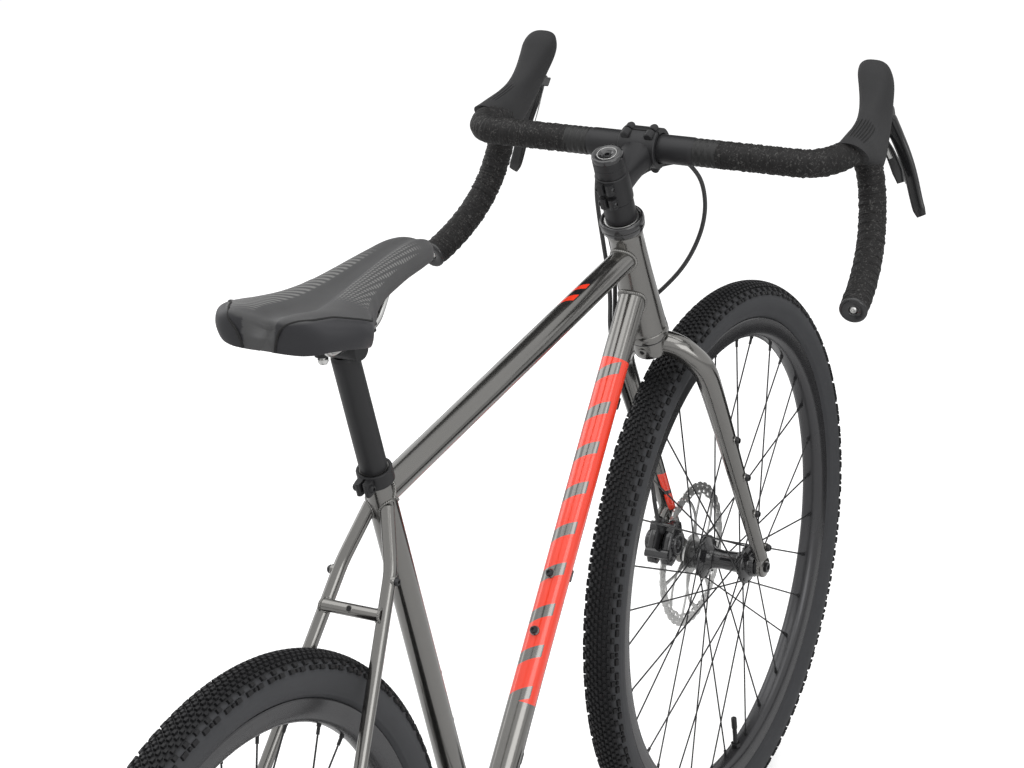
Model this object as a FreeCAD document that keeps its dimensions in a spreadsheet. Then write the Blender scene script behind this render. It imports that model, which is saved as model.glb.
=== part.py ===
import FreeCAD, Part
import math
import os
import Sketcher
from FreeCAD import Placement, Rotation, Vector

# A steel gravel bike with drop bars, disc brakes and a single-ring drive.
# +X points forward, +Y to the rider's left and +Z up.
# The origin is on the ground, midway between the two axles. Lengths are in millimetres.
# Places on the steering axis are given as "up" from the foot of the front axle on that axis,
# "ahead" of the axis and "left" of the middle plane. Places on the seat tube's axis are given
# the same way, from the centre of the crank axle.

DRIVING = [
    # wheels
    ("wheelbase", 1050), ("tyre_radius", 342.5), ("tyre_width", 50), ("tyre_wall", 2.5),
    ("rim_edge_radius", 298), ("rim_bed_radius", 274), ("rim_width", 28), ("rim_wall", 2),
    ("spoke_count", 32), ("spoke_diameter", 2), ("nipple_diameter", 4.4), ("nipple_length", 12),
    ("hub_bore", 18.1), ("hub_sleeve_od", 18), ("axle_od", 12), ("axle_bore", 12.1),
    ("front_spacing", 100), ("rear_spacing", 142), ("dropout_thickness", 8),
    ("front_rotor_od", 180), ("rear_rotor_od", 160), ("rotor_thickness", 1.8), ("rotor_track", 16),
    # frame
    ("head_angle", 70.6), ("fork_rake", 51), ("bb_drop", 75), ("chainstay_length", 430), ("seat_angle", 74.5),
    ("head_tube_low", 410), ("head_tube_high", 541), ("head_tube_low_od", 47), ("head_tube_high_od", 39),
    ("head_tube_bore", 34), ("seat_tube_od", 28.6), ("seat_tube_bore", 27.3), ("seat_tube_top", 530),
    ("top_tube_od", 28.2), ("top_tube_seat", 497), ("top_tube_head", 512.6), ("down_tube_od", 30.5),
    ("down_tube_head", 470), ("down_tube_ahead", 4), ("tube_wall", 1.2), ("bb_shell_od", 40),
    ("bb_shell_width", 68), ("bb_shell_bore", 34), ("chainstay_od", 16), ("seatstay_od", 13),
    ("bridge_od", 12), ("mount_hole", 5), ("collar_od", 35), ("collar_height", 16),
    # steering
    ("steerer_od", 28.6), ("steerer_wall", 2), ("steerer_top", 641), ("crown_low", 371), ("crown_high", 397),
    ("crown_od", 40), ("blade_od", 23), ("blade_left", 53), ("cup_od", 48.8), ("lower_cup_od", 50),
    ("cover_low", 555.3), ("cover_top", 567), ("stem_low", 582), ("stem_high", 617), ("spacer_top", 643),
    ("spacer_od", 34), ("cap_top", 649), ("stem_clamp_od", 39), ("bar_clamp_od", 44), ("bar_clamp_width", 44),
    ("bar_up", 601.4), ("bar_ahead", 77.2), ("bar_od", 31.8), ("grip_od", 24), ("bar_wall", 2.2),
    ("tape_low_od", 29.8), ("tape_high_od", 31.4), ("tape_start", 64), ("tape_turns", 24),
    ("hood_width", 38), ("lever_pin_od", 4), ("lever_bore", 4.1), ("lever_boss_od", 14),
    ("lever_boss_width", 15),
    # seat
    ("seatpost_od", 27.2), ("seatpost_low", 420), ("seatpost_top", 672), ("rail_od", 7), ("rail_left", 22),
    # drive
    ("crank_length", 172.5), ("spindle_od", 24), ("spindle_bore", 24.1), ("chain_line", 44.75),
    ("chain_pitch", 12.7), ("ring_teeth", 38), ("cog_teeth", 21), ("pulley_teeth", 11), ("cog_pitch", 3.75),
    ("cog_thickness", 1.6), ("cage_length", 90), ("pedal_length", 96), ("pedal_width", 90),
    ("pedal_height", 20),
    ("pedal_spindle_od", 14), ("pedal_bore", 14.1), ("arm_inner", 58), ("arm_thickness", 14),
]

doc = FreeCAD.newDocument("gravel_bike")
dims = doc.addObject("Spreadsheet::Sheet", "dims")
for row, (alias, number) in enumerate(DRIVING, start=1):
    dims.set(f"A{row}", alias)
    dims.set(f"B{row}", str(number))
    dims.setAlias(f"B{row}", alias)
doc.recompute()

LEFT = Vector(0, 1, 0)
SIDES = {"left": 1, "right": -1}
PARTS = []


def mm(alias):
    """A driving dimension as a number."""
    return float(getattr(dims, alias))


HEAD = math.radians(mm("head_angle"))
SEAT = math.radians(mm("seat_angle"))
STEER_UP = Vector(-math.cos(HEAD), 0, math.sin(HEAD))
STEER_AHEAD = Vector(math.sin(HEAD), 0, math.cos(HEAD))
SEAT_UP = Vector(-math.cos(SEAT), 0, math.sin(SEAT))
SEAT_AHEAD = Vector(math.sin(SEAT), 0, math.cos(SEAT))
FRONT_AXLE = Vector(mm("wheelbase") / 2, 0, mm("tyre_radius"))
REAR_AXLE = Vector(-mm("wheelbase") / 2, 0, mm("tyre_radius"))
STEER_FOOT = FRONT_AXLE - STEER_AHEAD * mm("fork_rake")
STAY_RUN = math.sqrt(mm("chainstay_length") ** 2 - mm("bb_drop") ** 2)
CRANK_AXLE = REAR_AXLE + Vector(STAY_RUN, 0, -mm("bb_drop"))


def steer(up, ahead=0, left=0):
    """A place given along the steering axis."""
    return STEER_FOOT + STEER_UP * up + STEER_AHEAD * ahead + LEFT * left


def seat(up, ahead=0, left=0):
    """A place given along the seat tube's axis."""
    return CRANK_AXLE + SEAT_UP * up + SEAT_AHEAD * ahead + LEFT * left


BAR = steer(mm("bar_up"), mm("bar_ahead"))


def bar(ahead, left, up):
    """A place given from the centre of the handlebar's clamp, along the row's own axes."""
    return BAR + Vector(ahead, left, up)


# Helpers: primitives bound to the sheet, booleans, paths and lofts.


def standing(foot, axis):
    """A placement that turns +Z to the given axis and puts it on the foot."""
    return Placement(foot, Rotation(Vector(0, 0, 1), axis))


def add(kind, name, placement, **sizes):
    """A feature whose sizes are expressions on the sheet, or plain lengths worked out from it."""
    feature = doc.addObject(kind, name)
    for prop, amount in sizes.items():
        if isinstance(amount, str):
            feature.setExpression(prop, amount)
        else:
            setattr(feature, prop, amount)
    feature.Placement = placement
    return feature


def rod(name, radius, foot, head):
    """A round bar from foot to head."""
    pose = standing(foot, head - foot)
    return add("Part::Cylinder", name, pose, Radius=radius, Height=(head - foot).Length)


def cone(name, low_radius, high_radius, foot, head):
    """A round bar that tapers from foot to head."""
    pose = standing(foot, head - foot)
    return add("Part::Cone", name, pose, Radius1=low_radius, Radius2=high_radius, Height=(head - foot).Length)


def block(name, centre, ahead, left, up, turn=None):
    """A box about its centre, turned about it where a rotation is given."""
    turn = turn or Rotation()
    corner = centre - turn.multVec(Vector(ahead, left, up) * 0.5)
    return add("Part::Box", name, Placement(corner, turn), Length=ahead, Width=left, Height=up)


def cut(base, *tools):
    """The base with every tool taken out of it."""
    for tool in tools:
        result = doc.addObject("Part::Cut", "cut")
        result.Base = base
        result.Tool = tool
        base = result
    return base


def fuse(*pieces):
    """Pieces that are made as one."""
    result = doc.addObject("Part::MultiFuse", "fuse")
    result.Shapes = list(pieces)
    return result


def tube(name, outer, inner, foot, head):
    """A round tube with a bore that runs out past both ends."""
    reach = (head - foot).normalize() * 1.0
    return cut(rod(name, outer, foot, head), rod(name + "_bore", inner, foot - reach, head + reach))


def plain(name, shape):
    """A feature for a shape that no primitive makes."""
    feature = doc.addObject("Part::Feature", name)
    feature.Shape = shape
    return feature


def keep(label, *pieces):
    """Names a finished sub-part. Several separate solids become one group."""
    if len(pieces) == 1:
        part = pieces[0]
    else:
        part = doc.addObject("Part::Compound", label + "_group")
        part.Links = list(pieces)
    part.Label = label
    PARTS.append(part)
    return part


def rounded_wire(points, radii):
    """Straight runs through the points, joined by tangent arcs with the given corner radii."""
    edges = []
    start = points[0]
    for before, corner, after, radius in zip(points, points[1:], points[2:], radii):
        back = (before - corner).normalize()
        onward = (after - corner).normalize()
        half_turn = (math.pi - back.getAngle(onward)) / 2
        reach = radius * math.tan(half_turn)
        leave = corner + back * reach
        join = corner + onward * reach
        inward = (back + onward).normalize()
        middle = corner + inward * (radius / math.cos(half_turn) - radius)
        edges.append(Part.LineSegment(start, leave).toShape())
        edges.append(Part.Arc(leave, middle, join).toShape())
        start = join
    edges.append(Part.LineSegment(start, points[-1]).toShape())
    return Part.Wire(edges)


def widest_radii(points, share=0.45):
    """For a cord: each corner's radius as large as its two runs allow."""
    radii = []
    for before, corner, after in zip(points, points[1:], points[2:]):
        back = before - corner
        onward = after - corner
        half_turn = (math.pi - back.getAngle(onward)) / 2
        radii.append(share * min(back.Length, onward.Length) / math.tan(half_turn))
    return radii


def bent(name, radius, points, radii):
    """A round bar swept along straight runs and tangent arcs."""
    path = plain(name + "_path", rounded_wire(points, radii))
    ring = add("Part::Circle", name + "_ring", standing(points[0], points[1] - points[0]), Radius=radius)
    sweep = doc.addObject("Part::Sweep", name)
    sweep.Sections = [ring]
    sweep.Spine = (path, [f"Edge{index + 1}" for index in range(len(path.Shape.Edges))])
    sweep.Solid = True
    return sweep


def mirrored(point, side):
    """The same place on the left (1) or the right (-1)."""
    return Vector(point.x, point.y * side, point.z)


def outline_sketch(body, role, corners):
    """A closed sketch through corners given as pairs of expressions on the sheet."""
    sketch = body.newObject("Sketcher::SketchObject", "outline")
    plane = [feature for feature in body.Origin.OriginFeatures if feature.Role == role][0]
    sketch.AttachmentSupport = [(plane, "")]
    sketch.MapMode = "FlatFace"
    places = [(float(dims.evalExpression(x)), float(dims.evalExpression(y))) for x, y in corners]
    count = len(places)
    for index in range(count):
        start = Vector(*places[index], 0)
        end = Vector(*places[(index + 1) % count], 0)
        sketch.addGeometry(Part.LineSegment(start, end), False)
    for index in range(count):
        sketch.addConstraint(Sketcher.Constraint("Coincident", index, 2, (index + 1) % count, 1))
    for index, (texts, numbers) in enumerate(zip(corners, places)):
        for kind, axis, text, number in zip(("DistanceX", "DistanceY"), (-2, -1), texts, numbers):
            if number == 0:
                sketch.addConstraint(Sketcher.Constraint("PointOnObject", index, 1, axis))
                continue
            datum = sketch.addConstraint(Sketcher.Constraint(kind, -1, 1, index, 1, number))
            sketch.setExpression(f"Constraints[{datum}]", text)
    return sketch


def turned_body(name, corners, centre, axis):
    """A body turned on a lathe: corners are (radius, place along the axis)."""
    body = doc.addObject("PartDesign::Body", name)
    sketch = outline_sketch(body, "XZ_Plane", corners)
    revolution = body.newObject("PartDesign::Revolution", "turning")
    revolution.Profile = sketch
    revolution.ReferenceAxis = (sketch, ["V_Axis"])
    revolution.Angle = 360
    body.Placement = standing(centre, axis)
    return body


def plate_body(name, corners, thickness, centre):
    """A flat plate that stands upright along X: corners are (ahead, up) from the centre."""
    body = doc.addObject("PartDesign::Body", name)
    sketch = outline_sketch(body, "XZ_Plane", [(str(ahead), str(up)) for ahead, up in corners])
    pad = body.newObject("PartDesign::Pad", "plate")
    pad.Profile = sketch
    pad.setExpression("Length", thickness)
    pad.Midplane = True
    body.Placement = Placement(centre, Rotation())
    return body


def ring_edge(centre, normal, across, radius):
    """A circle whose seam lies along the given cross direction."""
    circle = Part.Circle(centre, normal, radius)
    circle.XAxis = across
    return Part.Wire([circle.toShape()])


def along(wire, distance):
    """The place and the direction at a distance along a wire."""
    for edge in wire.OrderedEdges:
        if distance <= edge.Length:
            parameter = edge.getParameterByLength(distance)
            return edge.valueAt(parameter), edge.tangentAt(parameter)
        distance -= edge.Length
    last = wire.OrderedEdges[-1]
    return last.valueAt(last.LastParameter), last.tangentAt(last.LastParameter)


# Frame tubes


def frame_tubes():
    """The main tubes, mitred to each other, and the crank shell."""
    head_low, head_high = steer(mm("head_tube_low")), steer(mm("head_tube_high"))
    low_radius, high_radius = "dims.head_tube_low_od / 2", "dims.head_tube_high_od / 2"
    head_skin = cone("head_skin", low_radius, high_radius, head_low, head_high)
    head_bore = rod("head_bore", "dims.head_tube_bore / 2", head_low - STEER_UP, head_high + STEER_UP)
    keep("head_tube", cut(head_skin, head_bore))

    half_shell = LEFT * (mm("bb_shell_width") / 2)
    shell_skin = rod("shell_skin", "dims.bb_shell_od / 2", CRANK_AXLE - half_shell, CRANK_AXLE + half_shell)
    past_shell = half_shell * 1.1
    shell_bore = rod("shell_bore", "dims.bb_shell_bore / 2", CRANK_AXLE - past_shell, CRANK_AXLE + past_shell)
    keep("bb_shell", cut(shell_skin, shell_bore))

    seat_skin = rod("seat_skin", "dims.seat_tube_od / 2", CRANK_AXLE, seat(mm("seat_tube_top")))
    seat_bore = rod("seat_bore", "dims.seat_tube_bore / 2", CRANK_AXLE, seat(mm("seat_tube_top") + 1))
    slot_turn = Rotation(Vector(0, 0, 1), SEAT_UP)
    slot_length, slot_width, slot_depth = 30, 2.4, 10
    slot_low = mm("seat_tube_top") - slot_length
    slot_middle = seat(slot_low + slot_length / 2, -12)
    slot = block("clamp_slot", slot_middle, slot_depth, slot_width, slot_length, slot_turn)
    slot_end = rod("slot_end", slot_width, seat(slot_low, -16), seat(slot_low, -8))
    keep("seat_tube", cut(seat_skin, seat_bore, shell_skin, slot, slot_end))

    top_head, top_seat = steer(mm("top_tube_head")), seat(mm("top_tube_seat"))
    top_radius = "dims.top_tube_od / 2"
    top = tube("top_skin", top_radius, top_radius + " - dims.tube_wall", top_seat, top_head)
    keep("top_tube", cut(top, head_skin, seat_skin))

    down_low = CRANK_AXLE + Vector(mm("down_tube_ahead"), 0, 0)
    down_high = steer(mm("down_tube_head"))
    down_radius = "dims.down_tube_od / 2"
    down = tube("down_skin", down_radius, down_radius + " - dims.tube_wall", down_low, down_high)
    keep("down_tube", cut(down, head_skin, shell_skin, seat_skin))
    return shell_skin, seat_skin, down_low, down_high


SHELL_SKIN, SEAT_SKIN, DOWN_LOW, DOWN_HIGH = frame_tubes()
DOWN_DIRECTION = (DOWN_HIGH - DOWN_LOW).normalize()
DOWN_UNDER = LEFT.cross(DOWN_DIRECTION)


def down_tube_place(distance, under=0, left=0):
    """A place along the down tube from its lower end, towards its underside and to the left."""
    return DOWN_LOW + DOWN_DIRECTION * distance + DOWN_UNDER * under + LEFT * left


# Rear triangle: stays bend out round the tyre, and meet plates at the axle.

DROPOUT_OUTLINE = [(-15, -6), (-8, -16), (8, -17), (46, -11), (46, 5), (24, 12), (25, 30), (12, 36), (-4, 18),
                   (-15, 8)]
HANGER_OUTLINE = [(-16, -8), (-22, -34), (-16, -42), (-6, -42), (-1, -32), (4, -14)]
DROPOUT_LEFT = mm("rear_spacing") / 2 + mm("dropout_thickness") / 2
BRIDGE = REAR_AXLE + Vector(225, 0, 312)
STAY_BEND = REAR_AXLE + Vector(256, 27, 344)
STAY_FOOT = REAR_AXLE + Vector(17, 73.5, 26)
BRIDGE_NORMAL = Vector(-0.8, 0, 0.6)


def rear_triangle():
    """Chainstays, seatstays with their bridge, and the axle plates with the hanger."""
    plates = []
    for side in SIDES.values():
        centre = REAR_AXLE + LEFT * (DROPOUT_LEFT * side)
        outline = plate_body("dropout", DROPOUT_OUTLINE, "dims.dropout_thickness", centre)
        reach = LEFT * (mm("rear_spacing") * side)
        plate = cut(outline, rod("axle_hole", "dims.axle_bore / 2", REAR_AXLE, REAR_AXLE + reach))
        plates.append((outline, plate))
    hanger = plate_body("hanger", HANGER_OUTLINE, "dims.dropout_thickness", REAR_AXLE - LEFT * DROPOUT_LEFT)
    right = fuse(plates[1][1], hanger)
    reach = LEFT * mm("rear_spacing")
    right = cut(right, rod("axle_hole", "dims.axle_bore / 2", REAR_AXLE, REAR_AXLE - reach))
    keep("rear_dropouts", plates[0][1], right)

    chainstays = []
    seatstays = []
    stay_start = CRANK_AXLE + Vector(-10, 20, 1)
    stay_waist = CRANK_AXLE + Vector(-90, 36.3, 14)
    stay_flare = REAR_AXLE + Vector(105, 67, -17)
    stay_end = REAR_AXLE + Vector(40, 75, -3)
    for (outline, plate), side in zip(plates, SIDES.values()):
        route = [mirrored(point, side) for point in (stay_start, stay_waist, stay_flare, stay_end)]
        chainstay = bent("chainstay", "dims.chainstay_od / 2", route, (120, 150))
        chainstays.append(cut(chainstay, SHELL_SKIN, outline))
        route = [mirrored(point, side) for point in (seat(489, -7, 9), STAY_BEND, STAY_FOOT)]
        seatstays.append(cut(bent("seatstay", "dims.seatstay_od / 2", route, (90,)), SEAT_SKIN, outline))
    keep("chainstays", *chainstays)

    half_bridge = LEFT * 32
    boss_reach = BRIDGE_NORMAL * 7
    hole_reach = BRIDGE_NORMAL * 20
    bridge = rod("bridge", "dims.bridge_od / 2", BRIDGE - half_bridge, BRIDGE + half_bridge)
    boss = rod("bridge_boss", 7, BRIDGE - boss_reach, BRIDGE + boss_reach)
    hole = rod("bridge_hole", "dims.mount_hole / 2", BRIDGE - hole_reach, BRIDGE + hole_reach)
    keep("seatstays", *seatstays, cut(fuse(bridge, boss), hole, *seatstays))


rear_triangle()


# Seat collar, fittings and bolts on the frame


def button_bolt(name, foot, axis):
    """A small bolt with a round head and a socket, standing on its boss."""
    axis = Vector(axis).normalize()
    boss = rod(name + "_boss", 5, foot, foot + axis * 2)
    head = rod(name + "_head", 4.2, foot + axis * 2, foot + axis * 5)
    socket = rod(name + "_socket", 1.6, foot + axis * 3, foot + axis * 6)
    return cut(fuse(boss, head), socket)


def seat_collar():
    """The split clamp round the top of the seat tube."""
    low = mm("seat_tube_top") - mm("collar_height")
    ring = rod("collar_ring", "dims.collar_od / 2", seat(low), seat(mm("seat_tube_top")))
    turn = Rotation(Vector(0, 0, 1), SEAT_UP)
    middle = low + mm("collar_height") / 2
    ears = block("collar_ears", seat(middle, -20), 14, 16, mm("collar_height"), turn)
    bore = rod("collar_bore", "dims.seat_tube_od / 2", seat(low - 1), seat(mm("seat_tube_top") + 1))
    split = block("collar_split", seat(middle, -22), 20, 2.4, mm("collar_height") * 2, turn)
    hole = rod("collar_hole", 2.5, seat(middle, -22, -15), seat(middle, -22, 15))
    keep("seat_collar", cut(fuse(ring, ears), bore, split, hole))
    return rod("collar_bolt", 2.5, seat(middle, -22, -8), seat(middle, -22, 8)), middle


COLLAR_BOLT, COLLAR_MIDDLE = seat_collar()
GUIDE_PLACES = (118, 322, 521)
GUIDE_UNDER = 21
CORD_GAP = 4


def frame_fittings():
    """Bottle bolts, rack bolts, the collar's bolt heads and the guides under the down tube."""
    bolts = [COLLAR_BOLT]
    for side in SIDES.values():
        foot, head = (seat(COLLAR_MIDDLE, -22, left * side) for left in (8, 12))
        bolts.append(rod("collar_bolt_head", 4.2, foot, head))
    for distance in (249, 313):
        foot = down_tube_place(distance, -mm("down_tube_od") / 2 - 0.1)
        bolts.append(button_bolt("down_bolt", foot, -DOWN_UNDER))
    for up in (190, 254):
        bolts.append(button_bolt("seat_bolt", seat(up, mm("seat_tube_od") / 2 + 0.1), SEAT_AHEAD))
    for side in SIDES.values():
        rack = STAY_BEND + Vector(-6, 9, -7)
        bolts.append(button_bolt("rack_bolt", mirrored(rack, side), LEFT * side))
    guides = []
    turn = Rotation(Vector(0, 0, 1), DOWN_DIRECTION)
    for distance in GUIDE_PLACES:
        centre = down_tube_place(distance, GUIDE_UNDER - 1)
        guide = block("guide", centre, 8, 15, 14, turn)
        holes = []
        for left in (-CORD_GAP, CORD_GAP):
            low, high = (down_tube_place(distance + step, GUIDE_UNDER, left) for step in (-10, 10))
            holes.append(rod("guide_hole", 2.6, low, high))
        low, high = (down_tube_place(distance + step) for step in (-20, 20))
        skin = rod("guide_seat", mm("down_tube_od") / 2 + 0.05, low, high)
        guides.append(cut(guide, skin, *holes))
    keep("frame_fittings", *bolts, *guides)


frame_fittings()


# Headset: cups and bearings in the head tube, and what turns with the fork


def headset():
    """Two outside cups with their bearings."""
    low, high = mm("head_tube_low"), mm("head_tube_high")
    upper = [("15.2", "-10"), ("dims.head_tube_bore / 2", "-10"), ("dims.head_tube_bore / 2", "0"),
             ("dims.head_tube_high_od / 2", "0"), ("dims.cup_od / 2", "4"), ("dims.cup_od / 2", "14"),
             ("21.1", "14"), ("21.1", "5"), ("15.2", "5")]
    lower = [("16.2", "10"), ("dims.head_tube_bore / 2", "10"), ("dims.head_tube_bore / 2", "0"),
             ("dims.head_tube_low_od / 2", "0"), ("dims.lower_cup_od / 2", "-3"),
             ("dims.lower_cup_od / 2", "-11"), ("22.1", "-11"), ("22.1", "-3"), ("16.2", "-3")]
    cups = [turned_body("upper_cup", upper, steer(high), STEER_UP),
            turned_body("lower_cup", lower, steer(low), STEER_UP)]
    bearings = [tube("upper_bearing", 21.1, 15.1, steer(high + 5), steer(high + 13)),
                tube("lower_bearing", 22.1, 16.1, steer(low - 10.5), steer(low - 3))]
    keep("headset", *cups, *bearings)


headset()


def steerer_stack():
    """Steerer with its crown, the cover and spacers on it, and the top cap."""
    crown = rod("crown", "dims.crown_od / 2", steer(mm("crown_low")), steer(mm("crown_high")))
    race = rod("crown_race", 16.05, steer(mm("crown_high")), steer(mm("head_tube_low") - 3.3))
    post = rod("steerer", "dims.steerer_od / 2", steer(mm("crown_low") + 6), steer(mm("steerer_top")))
    low, high = steer(mm("crown_low") - 1), steer(mm("steerer_top") + 1)
    bore = rod("steerer_bore", "dims.steerer_od / 2 - dims.steerer_wall", low, high)
    up = mm("crown_low") + 17
    tab_hole = rod("tab_hole", "dims.mount_hole / 2", steer(up, -40), steer(up, 40))
    keep("fork_steerer", cut(fuse(crown, race, post), bore, tab_hole))

    fit = "dims.steerer_od / 2"
    height = "dims.cover_top - dims.cover_low"
    cover = [(fit, "-8"), ("15.05", "-8"), ("15.05", "0"), ("dims.cup_od / 2", "0"),
             ("dims.cup_od / 2 - 1", "3"),
             ("20", height), (fit, height)]
    stack = [turned_body("cover", cover, steer(mm("cover_low")), STEER_UP)]
    spacers = [("cover_top", "stem_low", 2), ("stem_high", "spacer_top", 3)]
    for low, high, count in spacers:
        step = (mm(high) - mm(low)) / count
        for index in range(count):
            foot = mm(low) + index * step
            stack.append(tube("spacer", "dims.spacer_od / 2", fit, steer(foot), steer(foot + step)))
    keep("headset_spacers", *stack)

    edge = "dims.spacer_od / 2"
    cap = [("3", "0"), (edge, "0"), (edge, "3.5"), ("15.5", "6"), ("13.5", "6"), ("13", "5.3"), ("6", "5.3"),
           ("6", "3"), ("3", "3")]
    keep("top_cap", turned_body("cap", cap, steer(mm("spacer_top")), STEER_UP))


steerer_stack()


# Brakes: a body on each side of the disc, joined over its edge

CALIPER_CENTRE = FRONT_AXLE + Vector(-72, 41, 47)
REAR_CALIPER_CENTRE = REAR_AXLE + Vector(72, 56, 33)


def caliper(label, centre, axle, inlet_foot, inlet_way):
    """A two-sided caliper over the edge of a disc, with a stub where its hose goes in."""
    outward = Vector(centre.x - axle.x, 0, centre.z - axle.z).normalize()
    turn = Rotation(Vector(0, 0, 1), outward)
    body = block("caliper_body", centre + outward * 4, 52, 30, 34, turn)
    shoulder = rod("caliper_shoulder", 15, centre - LEFT * 19 + outward * 2, centre + LEFT * 17 + outward * 2)
    slot_half = 1.6
    slot = block("disc_slot", centre - outward * 12, 80, slot_half * 2, 46, turn)
    inlet_end = inlet_foot + inlet_way * 18
    inlet = rod("inlet", 4.5, inlet_foot, inlet_end)
    keep(label, cut(fuse(body, shoulder, inlet), slot))
    return body, inlet_end


FORWARD = Vector(1, 0, 0)
FRONT_INLET_FOOT = CALIPER_CENTRE + Vector(-5, 0, 3) + STEER_UP * 16
FRONT_CALIPER, FRONT_INLET = caliper("front_caliper", CALIPER_CENTRE, FRONT_AXLE, FRONT_INLET_FOOT, STEER_UP)
REAR_INLET_FOOT = REAR_CALIPER_CENTRE + Vector(20, 0, 8)
_, REAR_INLET = caliper("rear_caliper", REAR_CALIPER_CENTRE, REAR_AXLE, REAR_INLET_FOOT, FORWARD)


# Fork blades and plates

BLADE_TOP = steer(386, 8, 8)
BLADE_KNEE = steer(377, 15, mm("blade_left"))
BLADE_FOOT = steer(26, 48.5, mm("front_spacing") / 2 + 4.5)
BLADE_BEND = 50


def fork_blades():
    """Two curved blades welded to the crown, with the axle plates and the brake's posts."""
    crown = rod("crown_outside", "dims.crown_od / 2", steer(mm("crown_low") - 2), steer(mm("crown_high") + 2))
    pieces = []
    for side in SIDES.values():
        route = [mirrored(point, side) for point in (BLADE_TOP, BLADE_KNEE, BLADE_FOOT)]
        pieces.append(cut(bent("blade", "dims.blade_od / 2", route, (BLADE_BEND,)), crown))
        inner = mm("front_spacing") / 2 * side
        outer = (mm("front_spacing") / 2 + mm("dropout_thickness")) * side
        eye = rod("eye", 13, FRONT_AXLE + LEFT * inner, FRONT_AXLE + LEFT * outer)
        turn = Rotation(Vector(0, 0, 1), STEER_UP)
        tab = block("tab", steer(13, 50, (inner + outer) / 2), 20, mm("dropout_thickness"), 26, turn)
        hole = rod("axle_hole", "dims.axle_bore / 2", FRONT_AXLE, FRONT_AXLE + LEFT * (outer * 1.2))
        pieces.append(cut(fuse(eye, tab), hole))
    blade = pieces[0]
    towards = (BLADE_FOOT - BLADE_KNEE).normalize()
    across = LEFT.cross(towards)
    for distance in (290, 320):
        on_blade = BLADE_KNEE + towards * distance
        post = rod("brake_post", 7, on_blade - across * 2, on_blade + across * 26)
        pieces.append(cut(post, blade, FRONT_CALIPER))
    keep("fork_blades", *pieces)
    return towards, across


BLADE_DOWN, BLADE_BEHIND = fork_blades()


def on_blade(distance, behind=0, left=0):
    """A place on the left blade, measured down it from its knee."""
    return BLADE_KNEE + BLADE_DOWN * distance + BLADE_BEHIND * behind + LEFT * left


# Stem and handlebar

BAR_END = (-32, 253.5, -149)
BAR_DROP = (61, 241, -125)
BAR_FRONT = (109, 222, -3)
BAR_BEND = (0, 214, 0)
BAR_RADII = (150, 36, 38)
STEM_MIDDLE = (mm("stem_low") + mm("stem_high")) / 2
BOLT_UP, BOLT_LEFT = 21, 14


def stem():
    """The clamp on the steerer, the neck and the split clamp on the bar."""
    clamp = rod("stem_clamp", "dims.stem_clamp_od / 2", steer(mm("stem_low")), steer(mm("stem_high")))
    turn = Rotation(Vector(0, 0, 1), STEER_UP)
    ears = block("stem_ears", steer(STEM_MIDDLE, -20), 12, 22, mm("stem_high") - mm("stem_low"), turn)
    neck = cone("neck", 17, 17, steer(STEM_MIDDLE), steer(mm("bar_up"), mm("bar_ahead")))
    half = mm("bar_clamp_width") / 2
    head = rod("bar_clamp", "dims.bar_clamp_od / 2", BAR - LEFT * half, BAR + LEFT * half)
    bosses = []
    bolts = []
    for up in (-BOLT_UP, BOLT_UP):
        for left in (-BOLT_LEFT, BOLT_LEFT):
            place = steer(mm("bar_up") + up, mm("bar_ahead"), left)
            bosses.append(rod("bolt_boss", 6, place - STEER_AHEAD * 14, place + STEER_AHEAD * 10))
            bolts.append(rod("plate_bolt", 2.5, place - STEER_AHEAD * 13, place + STEER_AHEAD * 13))
    whole = fuse(clamp, ears, neck, head, *bosses)
    low, high = steer(mm("stem_low") - 5), steer(mm("stem_high") + 5)
    steerer_hole = rod("steerer_hole", "dims.steerer_od / 2", low, high)
    bar_hole = rod("bar_hole", "dims.bar_od / 2", BAR - LEFT * half * 2, BAR + LEFT * half * 2)
    split = block("clamp_split", steer(STEM_MIDDLE, -24), 26, 1.6, 60, turn)
    bolt_holes = []
    for bolt in bolts:
        foot = bolt.Placement.Base
        bolt_holes.append(rod("bolt_hole", 2.5, foot - STEER_AHEAD * 9, foot + STEER_AHEAD * 40))
    rear_bolts = []
    for up in (-9, 9):
        low, high = (steer(STEM_MIDDLE + up, -22, left) for left in (-13, 13))
        rear_bolts.append(rod("clamp_bolt", 2.5, low, high))
    drilled = cut(whole, steerer_hole, bar_hole, split, *bolt_holes, *rear_bolts)
    reach = 100
    gap = 1.2
    front = block("front_half", BAR + STEER_AHEAD * (reach / 2 - gap), reach, reach, reach, turn)
    back = block("back_half", BAR - STEER_AHEAD * (reach - gap), reach * 2, reach, reach * 3, turn)
    keep("stem", cut(drilled, front))
    keep("stem_faceplate", cut(drilled, back))
    return bolts + rear_bolts


STEM_BOLTS = stem()


def bar_route(side):
    """Corners of one half of the bar, from the middle to its end."""
    return [BAR] + [mirrored(bar(*place), side) for place in (BAR_BEND, BAR_FRONT, BAR_DROP, BAR_END)]


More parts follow.
